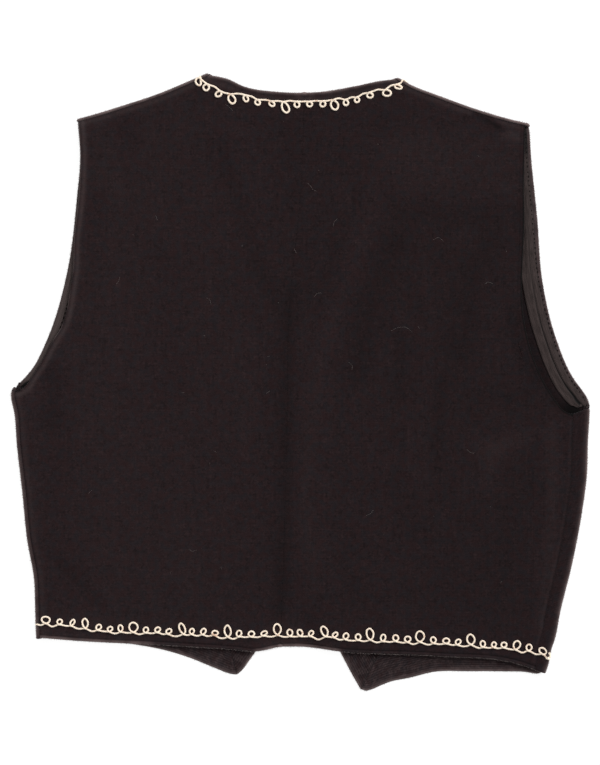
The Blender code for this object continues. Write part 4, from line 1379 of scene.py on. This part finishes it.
def trimPoints(plan):
    # the cord's line over its route: along it, out from it, and its lift
    t = trimPlan
    rng = random.Random(t["seed"])
    along, route = trimRoute(plan)
    onTop = route[:, 5] > 0.5
    loops = []
    for x, y, lean, wide, high, *_ in plan["loops"]:
        away = np.linalg.norm(route[:, :2] - placed([(x, y)]), axis=1) + ~onTop
        loops.append((along[np.argmin(away)] / mm, lean, wide, high))
    for way, spot, side in ((-1, loops[0][0], "left"), (1, loops[-1][0], "right")):
        for run, *size in plan["round"][side]:
            spot += way * run
            loops.append((spot, *size))
        for count in range(1, 100):
            spot += way * t["loopPitch"]
            if t["endGap"] < spot < along[-1] / mm - t["endGap"]:
                size = t["frontLoops"]["small" if count % t["largeEvery"] else "large"]
                loops.append((spot, *(value * rng.uniform(*t["loopVary"]) for value in size)))
    loops.sort()
    # each knot: place along, out, lift, and the place whose dip it shares
    knots = [(0, 0, 0, 0)]
    for spot, lean, wide, high in loops:
        before, after = [[(spot + run, out, lift, spot + run) for run, out, lift in rows]
                         for rows in (loopIn, loopOut)]
        loop = [(spot + across * wide / 2 + lean * out, out, lift, spot) for across, out, lift in loopShape]
        for at, out, lift, dipAt in before + loop + after:
            knots.append((at, out * high, lift * t["crossing"], dipAt))
    knots.append((along[-1] / mm, 0, 0, along[-1] / mm))
    return along, route, splineThrough(knots, steps=10) * mm


def makeTrim(name, plan):
    t = trimPlan
    along, route, line = trimPoints(plan)
    calm = straightened(route)
    normal = unitRows(route[:, 3:])
    across = np.cross(normal, unitRows(np.gradient(calm, axis=0)))

    base = interpolated(line[:, 0], along, calm) + interpolated(line[:, 3], along, route[:, :3] - calm)
    up = interpolated(line[:, 0], along, normal)
    spots = base + interpolated(line[:, 0], along, across) * line[:, 1:2] * plan["away"]
    level = up[:, 2]
    onTop = level > t["topFrom"]
    spots[onTop, 2] = backHeight(spots[onTop, 0], spots[onTop, 1]) + halfCloth + t["lift"] * mm
    lift = line[:, 2] * np.where(level < 0, 0.0, 1.0)
    spots += up * lift[:, None]
    length = lengthsAlong(spots)
    topShare = smooth((level + 1) / 2)
    step = np.interp(topShare, (0, 1), (t["underStep"], t["step"])) * mm
    places = [0.0]
    while places[-1] < length[-1]:
        places.append(places[-1] + np.interp(places[-1], length, step))
    places = np.array(places[:-1])
    inLoop = smooth(np.interp(places, length, line[:, 1]) / mm / t["loopFade"])
    line = interpolated(places, length, spots)
    up = interpolated(places, length, up)
    share = np.interp(places, length, topShare)
    side = np.cross(up, unitRows(np.gradient(line, axis=0)))
    turn = 2 * math.pi * places / (t["pitch"] * mm)
    strands = []
    radii = []
    for phase in (0, math.pi):
        sideways = side * (t["side"] * mm * np.cos(turn + phase))[:, None]
        upwards = up * (t["rise"] * mm * share * np.sin(turn + phase))[:, None]
        strands.append(line + sideways + upwards)
        nubs = 1 + t["nub"] * np.sin(2 * math.pi * places / (t["nubPitch"] * mm) + phase)
        second = t["nubPitch"] * t["nubSecond"] * mm
        nubs += t["nub"] * 0.5 * np.sin(2 * math.pi * places / second + 2 * phase)
        nubs *= 1 + plan["loopWeight"] * inLoop
        radii.append((t["underStrand"] / t["strand"] * (1 - share) + share * plan["weight"]) * nubs)
    dressed(cordMesh(name, strands, t["strand"], trimThread, radii), [])


makeTrim("neckTrim", neckTrim)
makeTrim("hemTrim", hemTrim)
print("trim made")


# Nap: short fibres that stand out along the edges, and pale lint that has settled on the back

napPlan = {
    "spacing": 0.30, "radius": 0.045, "length": (0.4, 1.3), "inset": 0.25, "turn": 1.1, "slope": 0.4,
    "seed": 5, "roughness": 0.9, "sheen": 0.3, "armholeLevel": 2, "edgeRun": (60, 50),
    # how far the fibres spread in height
    "spread": {"side": 1.8, "shoulder": 1.2, "armhole": 0.7, "edge": 0.5},
    "colour": (0.14, 0.105, 0.10), "light": (0.26, 0.21, 0.20), "shade": (0.08, 0.055, 0.053),
}
# Lint, in millimetres: points of each hair
lintMm = [
    [(7, 179), (10, 176), (12, 173), (15, 172)], [(-67, 250), (-63, 247), (-60, 244)],
    [(166, 88), (170, 90), (174, 88)], [(82, 46), (88, 49), (96, 49), (101, 45)],
    [(-165, 88), (-163, 91), (-162, 95)], [(-84, 76), (-81, 74), (-80, 70)],
    [(13, 77), (16, 80), (20, 80)], [(44, 18), (47, 15), (47, 11)], [(-77, -62), (-75, -63)],
    [(120, 128), (125, 130), (129, 127)], [(-130, 150), (-128, 146)], [(60, -120), (64, -118), (66, -115)],
    [(-30, -10), (-27, -8)], [(150, -60), (153, -63), (157, -64)], [(-190, -100), (-187, -97)],
    [(-100, -150), (-97, -152), (-93, -151)], [(30, 140), (31, 144), (34, 147)], [(-5, 120), (-3, 116)],
]
lintPlan = {
    "radius": 0.065, "lift": 0.10, "strays": 18, "stray": (0.8, 2.6), "strayBend": 0.9, "strayX": (-190, 190),
    "strayY": (-205, 225), "seed": 23, "roughness": 0.8, "sheen": 0.2,
    "colour": (0.085, 0.068, 0.063), "light": (0.18, 0.15, 0.145), "shade": (0.05, 0.042, 0.04),
}


def napRuns(line, side, level, spread, rng, runs):
    # fibres from a line outwards, at heights around a level
    n = napPlan
    length = lengthsAlong(line)[-1]
    places = np.sort([rng.uniform(0, length) for _ in range(int(length / (n["spacing"] * mm)))])
    spots = pointsAt(line, places)
    outward = pointsAt(np.column_stack([lengthsAlong(line), outwardOf(line, side)]), places)[:, 1:]
    levels = level(spots[:, 0], spots[:, 1]) if callable(level) else np.full(len(spots), level)
    for spot, out, z in zip(spots, outward, levels):
        way = Matrix.Rotation(rng.uniform(-n["turn"], n["turn"]), 2) @ Vector(out)
        reach = rng.uniform(*n["length"]) * mm
        start = Vector((*(spot - out * n["inset"] * mm), z + rng.uniform(-spread, spread) * mm))
        end = start + Vector((way.x, way.y, rng.uniform(-n["slope"], n["slope"]))) * reach
        runs.append(np.array([start, end]))


def makeNap():
    n = napPlan
    spread = n["spread"]
    rng = random.Random(n["seed"])
    runs = []
    for side, other in (("left", "right"), ("right", "left")):
        def ofFront(x, y):
            return frontHeight(side, x, y)

        for kind in ("side", "shoulder"):
            napRuns(edgeLine(kind, side), side, frontLevel + foldRadius[kind], spread[kind], rng, runs)
        napRuns(frontArmhole(side), side, n["armholeLevel"] * mm, spread["armhole"], rng, runs)
        napRuns(frontHem(side), other, ofFront, spread["edge"], rng, runs)
        steps, length = n["edgeRun"]
        edge = spaced(frontInnerEdge(side)[::-1], steps, end=length * mm)
        napRuns(edge, side, ofFront, spread["edge"], rng, runs)
        napRuns(backHem(side), other, backHeight, spread["edge"], rng, runs)
        napRuns(backNeck(side), side, backHeight, spread["edge"], rng, runs)
    dressed(cordMesh("edgeNap", runs, n["radius"], threadFinish("napFibre", n), corners=0), [])


def makeLint():
    p = lintPlan
    rng = random.Random(p["seed"])
    rows = list(lintMm)
    for _ in range(p["strays"]):
        x, y = rng.uniform(*p["strayX"]), rng.uniform(*p["strayY"])
        angle = rng.uniform(0, math.pi)
        bend = rng.uniform(-p["strayBend"], p["strayBend"])
        length = rng.uniform(*p["stray"])
        rows.append([(x, y), (x + length / 2 * math.cos(angle), y + length / 2 * math.sin(angle)),
                     (x + length * math.cos(angle + bend / 2), y + length * math.sin(angle + bend / 2))])
    runs = []
    for points in rows:
        line = splineThrough(placed(points), steps=4)
        runs.append(np.column_stack([line, backHeight(line[:, 0], line[:, 1]) + halfCloth + p["lift"] * mm]))
    dressed(cordMesh("paleLint", runs, p["radius"], threadFinish("lintFibre", p)), [])


makeNap()
makeLint()
print("nap and lint made")


# Floor, light and camera

stagePlan = {
    "camera": (0.2, -0.3), "distance": 3.0, "frameHeight": 688.5, "plane": 4.0,
    "floor": {"roughness": 0.9, "specular": 0.0, "glow": 0.86}, "floorColour": (0.24, 0.24, 0.24, 1),
    "floorHalf": 6, "floorDrop": 0.2, "sensor": 36, "clipEnd": 50,
    "lamps": {"key": ((4.4, 3.8, 3.4), 3.2, 490), "fill": ((-1.4, -0.2, 1.2), 1.0, 11)}, "world": 0.39,
}


def makeStage():
    p = stagePlan
    floorMesh = bmesh.new()
    bmesh.ops.create_grid(floorMesh, x_segments=1, y_segments=1, size=p["floorHalf"])
    bmesh.ops.translate(floorMesh, verts=floorMesh.verts, vec=(0, 0, -p["floorDrop"] * mm))
    material, _, shader = finish("paleFloor", p["floor"])
    shader.inputs["Base Color"].default_value = p["floorColour"]
    shader.inputs["Emission Color"].default_value = (1, 1, 1, 1)
    asObject("floor", floorMesh, material)

    world = bpy.context.scene.world or bpy.data.worlds.new("studio")
    bpy.context.scene.world = world
    world.use_nodes = True
    background = world.node_tree.nodes["Background"]
    background.inputs["Color"].default_value = (1, 1, 1, 1)
    background.inputs["Strength"].default_value = p["world"]

    for name, (spot, size, power) in p["lamps"].items():
        light = bpy.data.lights.new(name, "AREA")
        light.shape = "DISK"
        light.size = size
        light.energy = power
        lamp = bpy.data.objects.new(name, light)
        lamp.location = spot
        lamp.rotation_euler = Vector(spot).to_track_quat("Z", "Y").to_euler()
        bpy.context.scene.collection.objects.link(lamp)

    lens = bpy.data.cameras.new("camera")
    lens.sensor_width = p["sensor"]
    lens.lens = p["sensor"] * p["distance"] / (p["frameHeight"] * mm)
    lens.clip_end = p["clipEnd"]
    camera = bpy.data.objects.new("camera", lens)
    x, y = placed([p["camera"]])[0]
    camera.location = (x, y, p["distance"] + p["plane"] * mm)
    bpy.context.scene.collection.objects.link(camera)
    bpy.context.scene.camera = camera
    bpy.context.scene.view_settings.view_transform = "Standard"


makeStage()
print("stage made")
